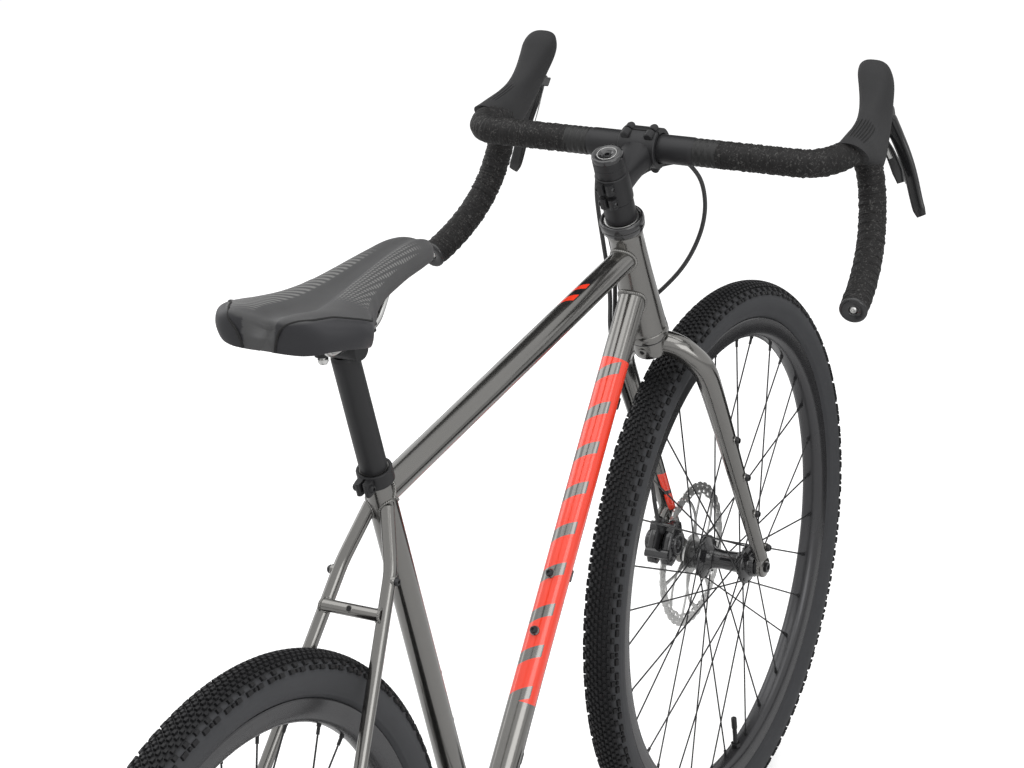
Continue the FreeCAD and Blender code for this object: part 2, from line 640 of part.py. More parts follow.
def handlebar():
    """A bent tube, swollen to the clamp's size in the middle."""
    left_half, right_half = bar_route(1), bar_route(-1)
    points = left_half[:0:-1] + right_half[1:]
    radii = BAR_RADII + BAR_RADII[::-1]
    skin = bent("bar_skin", "dims.grip_od / 2", points, radii)
    swell, run_out = 60, 72
    pieces = [skin, rod("bar_swell", "dims.bar_od / 2", BAR - LEFT * swell, BAR + LEFT * swell)]
    for side in SIDES.values():
        low, high = (BAR + LEFT * (side * reach) for reach in (swell, run_out))
        pieces.append(cone("bar_taper", "dims.bar_od / 2", "dims.grip_od / 2", low, high))
    outside = fuse(*pieces)
    bore = bent("bar_bore", "dims.grip_od / 2 - dims.bar_wall", points, radii)
    keep("handlebar", cut(outside, bore))
    return outside


BAR_OUTSIDE = handlebar()


def bar_tape():
    """The wound tape: every turn rises to its edge and steps down to the next one."""
    for name, side in SIDES.items():
        wire = rounded_wire(bar_route(side), BAR_RADII[::-1])
        length = wire.Length - mm("tape_start")
        turns = int(mm("tape_turns"))
        pitch = length / turns
        step_down = 0.8
        rings = []
        across = Vector(1, 0, 0)
        for index in range(turns):
            begin = mm("tape_start") + index * pitch
            for distance, diameter in ((begin, "tape_low_od"), (begin + pitch - step_down, "tape_high_od")):
                centre, direction = along(wire, distance)
                across = (across - direction * across.dot(direction)).normalize()
                rings.append(ring_edge(centre, direction, across, mm(diameter) / 2))
        sleeve = plain("tape_sleeve", Part.makeLoft(rings, True, True))
        keep("bar_tape_" + name, cut(sleeve, BAR_OUTSIDE))


bar_tape()


def bar_plugs():
    """Plugs with a flange and an expander bolt in the bar's ends."""
    plugs = []
    for side in SIDES.values():
        end = mirrored(bar(*BAR_END), side)
        outward = (end - mirrored(bar(*BAR_DROP), side)).normalize()
        edge = "dims.tape_high_od / 2"
        flange = [("2.5", "0"), (edge, "0"), (edge, "2.5"), ("12.5", "5"), ("5", "5"), ("5", "3.5"),
                  ("2.5", "3.5")]
        plugs.append(turned_body("plug", flange, end, outward))
        plugs.append(rod("plug_bolt", 2.5, end - outward * 20, end + outward * 4.2))
    keep("bar_end_plugs", *plugs)


bar_plugs()


# Brake hoods, levers and the shift paddle

HOOD_OUTLINE = [(36, 14), (84, 24), (118, 46), (146, 74), (157, 60), (153, 22), (147, 4), (122, -20), (96, -46),
                (36, -46)]
HOOD_TURN = 6.0
HOOD_ROOT = (70, 221, 0)
LEVER_PIVOT = (166, 215, 12)
LEVER_LEAN = 16.0
LEVER_SPINE = [(167, 216, 11), (179, 227, -30), (178, 238, -68), (166, 252, -106)]
LEVER_WIDTHS = (13, 14, 13, 11)
LEVER_DEPTHS = (9, 8, 7, 6)
PADDLE_SPINE = [(161, 219, -24), (160, 224, -40), (158, 229, -58), (154, 233, -74)]
PADDLE_DEPTH = 2.5
PADDLE_PIVOT = (161, 217, -18)


def lever_axis(side):
    """The pin's direction: the lever's plane leans outwards with the bar's flare."""
    lean = math.radians(LEVER_LEAN) * side
    return Vector(0, math.cos(lean), math.sin(lean))


def section(centre, normal, side_axis, width, depth):
    """A closed rectangle across a spine."""
    depth_axis = normal.cross(side_axis).normalize()
    corners = []
    for across, over in ((-1, -1), (1, -1), (1, 1), (-1, 1)):
        corners.append(centre + side_axis * (width / 2 * across) + depth_axis * (depth / 2 * over))
    return Part.makePolygon(corners + corners[:1])


def blade(name, spine, widths, depths, side):
    """A lever blade lofted through rectangles along its spine."""
    axis = lever_axis(side)
    places = [mirrored(bar(*place), side) for place in spine]
    rings = []
    for index, place in enumerate(places):
        before = places[max(index - 1, 0)]
        after = places[min(index + 1, len(places) - 1)]
        rings.append(section(place, (after - before).normalize(), axis, widths[index], depths[index]))
    return plain(name, Part.makeLoft(rings, True, True))


def hoods_and_levers():
    """Lever bodies under rubber hoods, their pins, the levers and the right-hand paddle."""
    pins = []
    for name, side in SIDES.items():
        axis = lever_axis(side)
        pivot = mirrored(bar(*LEVER_PIVOT), side)
        root = mirrored(bar(*HOOD_ROOT), side)
        outline = [(ahead - HOOD_ROOT[0], up - HOOD_ROOT[2]) for ahead, up in HOOD_OUTLINE]
        body = plate_body("hood", outline, "dims.hood_width", root)
        body.Placement = Placement(root, Rotation(LEFT.cross(Vector(1, 0, 0)), HOOD_TURN * side))
        tape_room = bent("tape_room", "dims.tape_high_od / 2 + 0.4", bar_route(side), BAR_RADII[::-1])
        ears = []
        half_boss = mm("lever_boss_width") / 2
        inner, outer = half_boss + 0.4, half_boss + 3.9
        for ear in (-1, 1):
            near, far = pivot + axis * (ear * inner), pivot + axis * (ear * outer)
            cheek = rod("cheek", "dims.lever_boss_od / 2", near, far)
            centre = (near + far) * 0.5 + Vector(-14, 0, 0)
            arm = block("cheek_arm", centre, 26, outer - inner, 11, Rotation(LEFT, axis))
            ears += [cheek, arm]
        pin = rod("lever_pin", "dims.lever_pin_od / 2", pivot - axis * outer, pivot + axis * outer)
        room_radius = "dims.lever_boss_od / 2 + 1"
        swing_room = rod("swing_room", room_radius, pivot - axis * inner, pivot + axis * inner)
        keep("hood_" + name, cut(fuse(body, *ears), tape_room, swing_room, pin))
        pins.append(pin)

        boss = rod("lever_boss", "dims.lever_boss_od / 2", pivot - axis * half_boss, pivot + axis * half_boss)
        arm = blade("lever_blade", LEVER_SPINE, LEVER_WIDTHS, LEVER_DEPTHS, side)
        bore = rod("lever_bore", "dims.lever_bore / 2", pivot - axis * 20, pivot + axis * 20)
        lever = [cut(fuse(boss, arm), bore)]
        if name == "right":
            hinge = mirrored(bar(*PADDLE_PIVOT), side)
            lever.append(rod("paddle_pin", 1.5, hinge, hinge + Vector(20, 0, 0)))
            lever[0] = cut(lever[0], lever[1])
            leaf = blade("paddle_leaf", PADDLE_SPINE, (12, 14, 14, 10), (PADDLE_DEPTH,) * 4, side)
            knuckle = rod("paddle_knuckle", 4, hinge + Vector(0.3, 0, 0), hinge + Vector(5.3, 0, 0))
            knuckle_bore = rod("knuckle_bore", 1.55, hinge - Vector(1, 0, 0), hinge + Vector(12, 0, 0))
            link = block("paddle_link", hinge + Vector(2.5, -1, -5), 4, 7, 9)
            keep("shift_paddle", cut(fuse(leaf, knuckle, link), knuckle_bore))
        keep("brake_lever_" + name, *lever)
    return pins


LEVER_PINS = hoods_and_levers()


def steering_bolts():
    """Stem bolts, the cap's bolt, lever pins and the mount bolts on the blades."""
    bolts = STEM_BOLTS + LEVER_PINS
    bolts.append(rod("cap_bolt", 3, steer(mm("spacer_top") - 30), steer(mm("spacer_top") + 3)))
    outward = mm("blade_od") / 2 + 0.1
    for side in SIDES.values():
        for distance in (152, 216, 280):
            foot = mirrored(on_blade(distance, 0, outward), side)
            bolts.append(button_bolt("blade_bolt", foot, LEFT * side))
        eyelet = steer(30, 55, mm("front_spacing") / 2 + 16)
        bolts.append(button_bolt("eyelet_bolt", mirrored(eyelet, side), LEFT * side))
    keep("steering_bolts", *bolts)


steering_bolts()


# Wheels

SPOKE_CROSS = 3


def wheel_place(axle, radius, angle, left):
    """A place on a wheel: angle runs from straight ahead towards the top."""
    return axle + Vector(radius * math.cos(angle), left, radius * math.sin(angle))


def rim_and_tyre(name, axle):
    """A channel rim with a valve, and a hollow tyre that sits on its edges."""
    edge, bed, wall = "dims.rim_edge_radius", "dims.rim_bed_radius", "dims.rim_wall"
    side = "dims.rim_width / 2"
    half = [(edge, side), (f"{edge} - 14", f"{side} - 1"), (bed, f"{side} - 8")]
    inner = [(f"{bed} + {wall} + 1", f"{side} - 9"), (f"{edge} - 13", f"{side} - 1 - {wall}"),
             (edge, f"{side} - {wall}")]
    mirror = [(radius, f"-({left})") for radius, left in half[::-1]]
    mirror_inner = [(radius, f"-({left})") for radius, left in inner[::-1]]
    corners = half + mirror + mirror_inner + inner
    rim = turned_body("rim", corners, axle, LEFT)
    valve_angle = -math.pi / 2 + math.pi / mm("spoke_count")
    bed_radius = mm("rim_bed_radius")
    low, high = (wheel_place(axle, radius, valve_angle, 0) for radius in (bed_radius - 38, bed_radius + 3))
    valve = rod("valve", 3, low, high)
    keep(name + "_rim", cut(rim, valve), valve)

    pose = standing(axle, LEFT)
    ring = "dims.tyre_radius - dims.tyre_width / 2"
    skin = add("Part::Torus", "tyre_skin", pose, Radius1=ring, Radius2="dims.tyre_width / 2")
    air = add("Part::Torus", "tyre_air", pose, Radius1=ring, Radius2="dims.tyre_width / 2 - dims.tyre_wall")
    seat_of_rim = rod("tyre_seat", edge, axle - LEFT * mm("tyre_width"), axle + LEFT * mm("tyre_width"))
    keep(name + "_tyre", cut(skin, air, seat_of_rim))


def spokes(name, axle, flanges):
    """Crossed spokes with their nipples: half of each side's spokes lead and half trail."""
    count = int(mm("spoke_count"))
    per_side = count // 2
    sweep = 2 * math.pi / per_side * SPOKE_CROSS
    thread = mm("rim_bed_radius") + 1.5
    solids = []
    for index in range(count):
        flange_radius, flange_left = flanges[index % 2]
        trailing = 1 if (index // 2) % 2 else -1
        rim_angle = 2 * math.pi * index / count
        hub_angle = rim_angle + trailing * sweep * 0.97
        foot = wheel_place(axle, flange_radius - 2.5, hub_angle, flange_left)
        head = wheel_place(axle, thread, rim_angle, math.copysign(1.5, flange_left))
        direction = (head - foot).normalize()
        solids.append(Part.makeCylinder(mm("spoke_diameter") / 2, (head - foot).Length, foot, direction))
        collar = head - direction * (mm("nipple_length") + 3.5)
        outer = Part.makeCylinder(mm("nipple_diameter") / 2, mm("nipple_length"), collar, direction)
        bore = Part.makeCylinder(mm("spoke_diameter") / 2, mm("nipple_length"), collar, direction)
        solids.append(outer.cut(bore))
    keep(name + "_spokes", plain("spoke_set", Part.makeCompound(solids)))


def rotor(name, axle, diameter, left):
    """A brake disc: a braking track on six swept arms and a carrier."""
    half = mm("rotor_thickness") / 2
    centre = axle + LEFT * left
    low, high = centre - LEFT * half, centre + LEFT * half
    track = tube("track", f"dims.{diameter} / 2", f"dims.{diameter} / 2 - dims.rotor_track", low, high)
    carrier = tube("carrier", 25, 17, low, high)
    arms = []
    span = mm(diameter) / 2 - mm("rotor_track") / 2
    for index in range(6):
        angle = index * math.pi / 3
        inner = wheel_place(centre, 22, angle, 0)
        outer = wheel_place(centre, span, angle + 0.45, 0)
        run = outer - inner
        turn = Rotation(Vector(1, 0, 0), run)
        arms.append(block("arm", (inner + outer) * 0.5, run.Length, 2 * half, 6, turn))
    keep(name + "_rotor", fuse(track, carrier, *arms))


def front_wheel():
    """The front wheel and the axle that stays still inside it."""
    rim_and_tyre("front", FRONT_AXLE)
    spokes("front", FRONT_AXLE, [(27, 21.5), (24, -33.5)])
    bore = "dims.hub_bore / 2"
    hub = [(bore, "-46"), ("14", "-46"), ("14", "-38"), ("24", "-35"), ("24", "-32"), ("12.5", "-24"),
           ("11.5", "0"), ("14", "12"), ("27", "20"), ("27", "23"), ("15", "28"), ("17", "34"), ("17", "46"),
           (bore, "46")]
    keep("front_hub", turned_body("hub", hub, FRONT_AXLE, LEFT))
    rotor("front", FRONT_AXLE, "front_rotor_od", 41)
    still_axle("front", FRONT_AXLE, mm("front_spacing") / 2, 46.3, 46.3)


def still_axle(name, axle, half, right_cap, left_cap):
    """The sleeve that the wheel turns on, its end caps and the bolt-through axle."""
    sleeve = rod("sleeve", "dims.hub_sleeve_od / 2", axle - LEFT * half, axle + LEFT * half)
    caps = [rod("end_cap", 11, axle + LEFT * left_cap, axle + LEFT * half),
            rod("end_cap", 11, axle - LEFT * right_cap, axle - LEFT * half)]
    reach = half + mm("dropout_thickness")
    bolt = rod("axle_bolt", "dims.axle_od / 2", axle - LEFT * (reach + 3), axle + LEFT * reach)
    head = rod("axle_head", 9, axle + LEFT * reach, axle + LEFT * (reach + 4))
    socket = rod("axle_socket", 3, axle - LEFT * (reach + 4), axle - LEFT * (reach - 6))
    keep(name + "_axle", cut(fuse(sleeve, *caps), bolt), cut(fuse(bolt, head), socket))


COG_SIZES = (11, 13, 15, 17, 19, 21, 24, 28, 32, 36, 42)
CHAIN_PLANE = -mm("chain_line")
ROLLER_RADIUS = 3.6


def pitch_radius(teeth):
    """The radius at which a chain runs round a toothed wheel."""
    return teeth * mm("chain_pitch") / (2 * math.pi)


def toothed(centre, teeth, phase, thickness, bore):
    """A toothed disc about the Y axis: a roller sits in the gap at the phase angle."""
    root = pitch_radius(teeth) - ROLLER_RADIUS - 0.3
    tip = pitch_radius(teeth) + 3.2
    step = 2 * math.pi / teeth
    corners = []
    for index in range(teeth):
        middle = phase + index * step
        for share, radius in ((-0.30, root), (0.30, root), (0.41, tip), (0.59, tip)):
            corners.append(wheel_place(centre, radius, middle + share * step, -thickness / 2))
    disc = Part.Face(Part.makePolygon(corners + corners[:1])).extrude(LEFT * thickness)
    hole = Part.makeCylinder(bore, thickness * 2, centre - LEFT * thickness, LEFT)
    return disc.cut(hole)


front_wheel()


def rear_wheel():
    """The rear wheel and its still axle. The sprockets turn on their own bearings."""
    rim_and_tyre("rear", REAR_AXLE)
    spokes("rear", REAR_AXLE, [(24, 31.5), (27, -18.5)])
    bore = "dims.hub_bore / 2"
    hub = [(bore, "-22"), ("16", "-22"), ("27", "-20"), ("27", "-17"), ("15", "-8"), ("14", "20"),
           ("24", "30"), ("24", "33"), ("15", "38"), ("17", "46"), ("17", "64"), (bore, "64")]
    keep("rear_hub", turned_body("hub", hub, REAR_AXLE, LEFT))
    rotor("rear", REAR_AXLE, "rear_rotor_od", 56)
    still_axle("rear", REAR_AXLE, mm("rear_spacing") / 2, 66.3, 64.3)


rear_wheel()


# Chain path, sprockets, ring and pulleys

GUIDE_PULLEY = REAR_AXLE + Vector(12, CHAIN_PLANE, -82)


def chain_circles(cage_angle):
    """Centre, radius and sense of the four wheels that the chain runs round, in order."""
    reach = Vector(math.sin(cage_angle), 0, -math.cos(cage_angle)) * mm("cage_length")
    return [(REAR_AXLE + LEFT * CHAIN_PLANE, pitch_radius(mm("cog_teeth")), 1),
            (GUIDE_PULLEY, pitch_radius(mm("pulley_teeth")), -1),
            (GUIDE_PULLEY + reach, pitch_radius(mm("pulley_teeth")), 1),
            (CRANK_AXLE + LEFT * CHAIN_PLANE, pitch_radius(mm("ring_teeth")), 1)]


def chain_runs(circles):
    """For each wheel: the direction in which the chain leaves it, and the straight run's length."""
    runs = []
    for index, (centre, radius, sense) in enumerate(circles):
        onward, next_radius, next_sense = circles[(index + 1) % len(circles)]
        gap = onward - centre
        spread = next_sense * next_radius - sense * radius
        heading = math.atan2(gap.z, gap.x) - math.asin(spread / gap.Length)
        runs.append((heading, math.sqrt(gap.Length ** 2 - spread ** 2)))
    return runs


def chain_spans(circles):
    """The loop as arcs and straight runs: (wheel, start angle, sense, radius, arc, heading, run)."""
    runs = chain_runs(circles)
    spans = []
    for index, (centre, radius, sense) in enumerate(circles):
        arrive = runs[index - 1][0] - sense * math.pi / 2
        leave = runs[index][0] - sense * math.pi / 2
        wrap = (sense * (leave - arrive)) % (2 * math.pi)
        spans.append((centre, arrive, sense, radius, radius * wrap, *runs[index]))
    return spans


def loop_length(cage_angle):
    """The chain's whole length for a cage angle."""
    return sum(arc + run for *_, arc, _, run in chain_spans(chain_circles(cage_angle)))


def settle_cage():
    """The cage angle at which the loop is a whole, even number of links."""
    low, high = math.radians(-5), math.radians(75)
    pair = 2 * mm("chain_pitch")
    links = 2 * math.floor(max(loop_length(low), loop_length(high)) / pair)
    target = links * mm("chain_pitch")
    rising = loop_length(high) > loop_length(low)
    for _ in range(60):
        middle = (low + high) / 2
        if (loop_length(middle) < target) == rising:
            low = middle
        else:
            high = middle
    return low, links


CAGE_ANGLE, LINKS = settle_cage()
CIRCLES = chain_circles(CAGE_ANGLE)
SPANS = chain_spans(CIRCLES)
TENSION_PULLEY = CIRCLES[2][0]


def on_chain(distance):
    """A place on the chain's loop."""
    for centre, arrive, sense, radius, arc, heading, run in SPANS:
        if distance <= arc:
            return wheel_place(centre, radius, arrive + sense * distance / radius, 0)
        distance -= arc
        if distance <= run:
            leave = wheel_place(centre, radius, heading - sense * math.pi / 2, 0)
            return leave + Vector(math.cos(heading), 0, math.sin(heading)) * distance
        distance -= run
    return on_chain(distance)


ROLLERS = [on_chain(index * mm("chain_pitch")) for index in range(LINKS)]


def roller_phase(centre):
    """The angle of a roller that lies on a wheel, so that its teeth fit the chain."""
    nearest = min(ROLLERS, key=lambda roller: (roller - centre).Length)
    return math.atan2(nearest.z - centre.z, nearest.x - centre.x)


def link_plate(near, far, half_height):
    """A chain plate between two heights across the chain, with round ends."""
    pitch = mm("chain_pitch")
    low = Vector(0, near, 0)
    ends = [Part.makeCylinder(half_height, far - near, low + Vector(x, 0, 0), LEFT) for x in (0, pitch)]
    bar_height = half_height * 1.5
    middle = Part.makeBox(pitch, far - near, bar_height, low + Vector(0, 0, -bar_height / 2))
    return ends[0].fuse([ends[1], middle])


def chain():
    """Inner links with rollers and outer links with pins, one solid each."""
    pitch = mm("chain_pitch")
    inner_plates = [link_plate(1.1, 1.9, 3.6), link_plate(-1.9, -1.1, 3.6)]
    outer_plates = [link_plate(1.95, 2.75, 3.5), link_plate(-2.75, -1.95, 3.5)]
    rollers = [Part.makeCylinder(ROLLER_RADIUS, 3, Vector(x, -1.5, 0), LEFT) for x in (0, pitch)]
    holes = [Part.makeCylinder(2.1, 8, Vector(x, -4, 0), LEFT) for x in (0, pitch)]
    pins = [Part.makeCylinder(1.7, 5.6, Vector(x, -2.8, 0), LEFT) for x in (0, pitch)]
    inner = inner_plates[0].fuse([inner_plates[1]] + rollers).cut(Part.makeCompound(holes))
    outer = outer_plates[0].fuse([outer_plates[1]] + pins)
    links = []
    for index in range(LINKS):
        here, onward = ROLLERS[index], ROLLERS[(index + 1) % LINKS]
        link = (inner if index % 2 else outer).copy()
        heading = math.atan2(onward.z - here.z, onward.x - here.x)
        link.Placement = Placement(here, Rotation(LEFT, -math.degrees(heading)))
        links.append(link.Solids[0])
    keep("chain", plain("chain_links", Part.makeCompound(links)))


chain()


def sprockets():
    """The freehub body with its row of sprockets."""
    solids = []
    drum_radius = 17
    in_use = COG_SIZES.index(int(mm("cog_teeth")))
    phase = roller_phase(CIRCLES[0][0])
    for index, teeth in enumerate(COG_SIZES):
        left = CHAIN_PLANE + (index - in_use) * mm("cog_pitch")
        solids.append(toothed(REAR_AXLE + LEFT * left, teeth, phase, mm("cog_thickness"), drum_radius))
    drum = tube("freehub", drum_radius, "dims.hub_bore / 2", REAR_AXLE - LEFT * 66, REAR_AXLE - LEFT * 22.4)
    keep("cassette", drum, plain("cogs", Part.makeCompound(solids)))


sprockets()


def pulleys():
    """The two toothed pulleys in the derailleur's cage."""
    for name, centre in (("guide_pulley", GUIDE_PULLEY), ("tension_pulley", TENSION_PULLEY)):
        wheel = toothed(centre, int(mm("pulley_teeth")), roller_phase(centre), 1.8, 3.05)
        keep(name, plain(name + "_wheel", wheel))


pulleys()


def derailleur():
    """The body on the hanger, the knuckle and the cage with its pulley bolts."""
    hanger = REAR_AXLE + Vector(-14, -mm("rear_spacing") / 2 - mm("dropout_thickness"), -35)
    knuckle = rod("hanger_knuckle", 9, hanger - LEFT * 0.3, hanger - LEFT * 16)
    cage_outside = CHAIN_PLANE - 6.4
    drum_head = Vector(GUIDE_PULLEY.x, hanger.y - 13, GUIDE_PULLEY.z)
    drum = rod("cage_knuckle", 13, Vector(GUIDE_PULLEY.x, cage_outside, GUIDE_PULLEY.z), drum_head)
    run = drum_head - (hanger - LEFT * 10)
    turn = Rotation(Vector(1, 0, 0), Vector(run.x, 0, run.z))
    link = block("parallelogram", hanger - LEFT * 9 + Vector(run.x, 0, run.z) * 0.5, run.Length, 13, 17, turn)
    body = fuse(knuckle, drum, link)
    cage = []
    cage_run = TENSION_PULLEY - GUIDE_PULLEY
    cage_turn = Rotation(Vector(1, 0, 0), cage_run)
    for face, thickness in ((-5.6, 1.6), (5.6, 1.6)):
        middle = (GUIDE_PULLEY + TENSION_PULLEY) * 0.5 + LEFT * face
        strip = block("cage_strip", middle, cage_run.Length, thickness, 15, cage_turn)
        near, far = LEFT * (face - thickness / 2), LEFT * (face + thickness / 2)
        ends = [rod("cage_end", 11, centre + near, centre + far) for centre in (GUIDE_PULLEY, TENSION_PULLEY)]
        cage.append(fuse(strip, *ends))
    reach = LEFT * 6.4
    bolts = [rod("pulley_bolt", 3, centre - reach, centre + reach) for centre in (GUIDE_PULLEY, TENSION_PULLEY)]
    keep("derailleur", fuse(body, *cage, *bolts))


derailleur()


def crankset():
    """Crank arms, spindle, the single ring with its bolts, the bearings, and the pedals."""
    inner, thickness = mm("arm_inner"), mm("arm_thickness")
    pedal_reach = 4
    spindle_stop = CRANK_AXLE + LEFT * (inner + thickness - 2)
    for name, side in SIDES.items():
        heading = -side
        pedal_eye = CRANK_AXLE + Vector(heading * mm("crank_length"), 0, 0)
        near, far = LEFT * (inner * side), LEFT * ((inner + thickness) * side)
        hub_boss = rod("arm_boss", 19, CRANK_AXLE + near, CRANK_AXLE + far)
        eye_boss = rod("arm_eye", 14, pedal_eye + near, pedal_eye + far)
        middle = (CRANK_AXLE + pedal_eye) * 0.5 + (near + far) * 0.5
        strip = block("arm_strip", middle, mm("crank_length"), thickness, 25)
        pieces = [hub_boss, eye_boss, strip]
        spindle_end = LEFT * ((inner + thickness) * side)
        solids = []
        if name == "right":
            pieces.append(rod("spindle", "dims.spindle_od / 2", CRANK_AXLE + spindle_end, spindle_stop))
            ring_face = mm("chain_line") + 0.9
            pieces.append(rod("spider_hub", 22, CRANK_AXLE - LEFT * ring_face, CRANK_AXLE + near))
            for index in range(4):
                angle = math.radians(45 + 90 * index)
                arm_centre = CRANK_AXLE + Vector(math.cos(angle) * 42, -ring_face - 3, math.sin(angle) * 42)
                turn = Rotation(LEFT, -math.degrees(angle))
                pieces.append(block("spider_arm", arm_centre, 52, 6, 13, turn))
            solids.append(fuse(*pieces))
        else:
            socket = rod("spindle_socket", "dims.spindle_od / 2", CRANK_AXLE, spindle_stop)
            solids.append(cut(fuse(*pieces), socket))
        spindle_length = mm("pedal_width") + pedal_reach + 4
        axle_end = LEFT * ((inner + thickness + spindle_length) * side)
        radius = "dims.pedal_spindle_od / 2"
        solids.append(rod("pedal_spindle", radius, pedal_eye + far, pedal_eye + axle_end))
        keep("crank_" + name, *solids)

        centre = pedal_eye + LEFT * ((inner + thickness + pedal_reach + mm("pedal_width") / 2) * side)
        slab = block("pedal_slab", centre, mm("pedal_length"), mm("pedal_width"), mm("pedal_height"))
        windows = []
        for step in (-27, 27):
            windows.append(block("pedal_window", centre + Vector(step, 0, 0), 26, mm("pedal_width") - 18, 40))
        bore = rod("pedal_bore", "dims.pedal_bore / 2", pedal_eye, pedal_eye + axle_end * 2)
        keep("pedal_" + name, cut(slab, *windows, bore))

    ring_centre = CRANK_AXLE + LEFT * CHAIN_PLANE
    ring = plain("ring", toothed(ring_centre, int(mm("ring_teeth")), roller_phase(ring_centre), 1.8, 58))
    bolts = []
    for index in range(4):
        angle = math.radians(45 + 90 * index)
        place = wheel_place(ring_centre, 63, angle, 0)
        bolts.append(rod("ring_bolt", 4, place + LEFT * 0.9, place + LEFT * 2.9))
    keep("chainring", ring, *bolts)

    cups = []
    for side in SIDES.values():
        half_width = mm("bb_shell_width") / 2
        reaches = (half_width * 0.6, half_width, half_width + 9)
        inside, face, end = (CRANK_AXLE + LEFT * (side * left) for left in reaches)
        bore = "dims.spindle_bore / 2"
        cup = tube("bearing_cup", 20.5, bore, face, end)
        sleeve = tube("cup_sleeve", "dims.bb_shell_bore / 2", bore, inside, face)
        cups.append(fuse(cup, sleeve))
    keep("bottom_bracket", *cups)


crankset()


# Seat: post, clamp, rails, shell and pad

SADDLE = seat(mm("seatpost_top"))
RAIL_HEIGHT = 14
PAD_STATIONS = [
    # ahead of the post's top, half width, then heights of foot, edge and crown, and channel depth
    (-119.5, 36, 40, 53, 70, 6), (-106, 62, 36.5, 52.5, 72, 9), (-79, 77, 33.5, 50, 66, 8),
    (-53, 69, 33, 47, 61, 7), (-33, 55, 33, 46, 60, 7), (-13, 44.5, 33.5, 46, 60.5, 7), (11, 37, 35.5, 47, 61.5, 6),
    (60, 28.5, 38, 49.5, 63.5, 4), (110, 23.5, 38.5, 48.5, 63.5, 2), (148, 17, 36, 44, 57.5, 1),
    (163.5, 8, 35, 40, 48, 0.4),
]


def pad_section(ahead, half, foot, edge, crown, channel):
    """One section across the saddle: drawn-in sides, two swells and a channel between them."""
    def place(left, up):
        return SADDLE + Vector(ahead, left, up)
    swell = half * 0.5
    shoulder = edge + (crown - edge) * 0.62
    curves = [Part.LineSegment(place(-half * 0.8, foot), place(half * 0.8, foot)),
              Part.Arc(place(half * 0.8, foot), place(half * 1.02, (foot + edge) / 2), place(half, edge)),
              Part.Arc(place(half, edge), place(half * 0.86, shoulder), place(swell, crown)),
              Part.Arc(place(swell, crown), place(0, crown - channel), place(-swell, crown)),
              Part.Arc(place(-swell, crown), place(-half * 0.86, shoulder), place(-half, edge)),
              Part.Arc(place(-half, edge), place(-half * 1.02, (foot + edge) / 2), place(-half * 0.8, foot))]
    return Part.Wire([curve.toShape() for curve in curves])


def saddle():
    """The padded saddle on its shell and rails, and the post with its clamp."""
    keep("saddle_pad", plain("pad", Part.makeLoft([pad_section(*row) for row in PAD_STATIONS], True, False)))
    rings = []
    for ahead, half, foot, *_ in PAD_STATIONS[1:-1]:
        top = foot - 1.0
        corners = [SADDLE + Vector(ahead, left, up) for left, up in
                   ((-half * 0.76, top - 4), (half * 0.76, top - 4), (half * 0.78, top), (-half * 0.78, top))]
        rings.append(Part.makePolygon(corners + corners[:1]))
    shell = plain("shell", Part.makeLoft(rings, True, True))
    rails = []
    for side in SIDES.values():
        left = mm("rail_left")
        points = [Vector(-92, 34, 31), Vector(-60, left, RAIL_HEIGHT), Vector(46, left, RAIL_HEIGHT),
                  Vector(112, 9, 35)]
        route = [SADDLE + mirrored(point, side) for point in points]
        rails.append(bent("rail", "dims.rail_od / 2", route, (40, 60)))
    keep("saddle_rails", *rails)
    keep("saddle_shell", cut(shell, *rails))

    clamp_low = block("cradle", SADDLE + Vector(0, 0, RAIL_HEIGHT - 3), 42, 58, 6)
    clamp_high = block("clamp_plate", SADDLE + Vector(0, 0, RAIL_HEIGHT + 3.2), 36, 56, 6)
    bolts = []
    for ahead in (-24, 24):
        bolts.append(rod("clamp_bolt", 3, SADDLE + Vector(ahead, 0, -14), SADDLE + Vector(ahead, 0, 24)))
    ears = block("bolt_ears", SADDLE + Vector(0, 0, RAIL_HEIGHT - 3), 62, 16, 6)
    ears_high = block("bolt_ears", SADDLE + Vector(0, 0, RAIL_HEIGHT + 3.2), 62, 16, 6)
    keep("saddle_clamp", cut(fuse(clamp_high, ears_high), *rails, *bolts), *bolts)

    post = rod("post", "dims.seatpost_od / 2", seat(mm("seatpost_low")), SADDLE)
    head = rod("post_head", 15, SADDLE - LEFT * 22, SADDLE + LEFT * 22)
    neck = block("post_neck", SADDLE + Vector(0, 0, 5), 40, 40, 12)
    low, high = seat(mm("seatpost_low") - 1), seat(mm("seatpost_top") - 30)
    bore = rod("post_bore", "dims.seatpost_od / 2 - 2.5", low, high)
    trim = block("head_trim", SADDLE + Vector(0, 0, RAIL_HEIGHT + 20), 120, 120, 40)
    keep("seatpost", cut(fuse(post, head, neck, clamp_low, ears), bore, trim, *rails, *bolts))


saddle()


# Cords: brake hoses and the shift housing, held along their whole length

HOSE_RADIUS = 2.5


def rear(ahead, left, up):
    """A place given from the rear axle."""
    return REAR_AXLE + Vector(ahead, left, up)


def crank(ahead, left, up):
    """A place given from the crank axle."""
    return CRANK_AXLE + Vector(ahead, left, up)


def under_frame(side):
    """Cord points from the guides under the down tube, past the crank shell, to the chainstay."""
    gap = CORD_GAP * side
    return [down_tube_place(545, GUIDE_UNDER, gap), down_tube_place(92, GUIDE_UNDER, gap),
            down_tube_place(56, 24, 8 * side), crank(24, 14 * side, -22), crank(-8, 18 * side, -27),
            crank(-48, 24 * side, -16), rear(333, 27.4 * side, -70), rear(270, 36 * side, -58)]


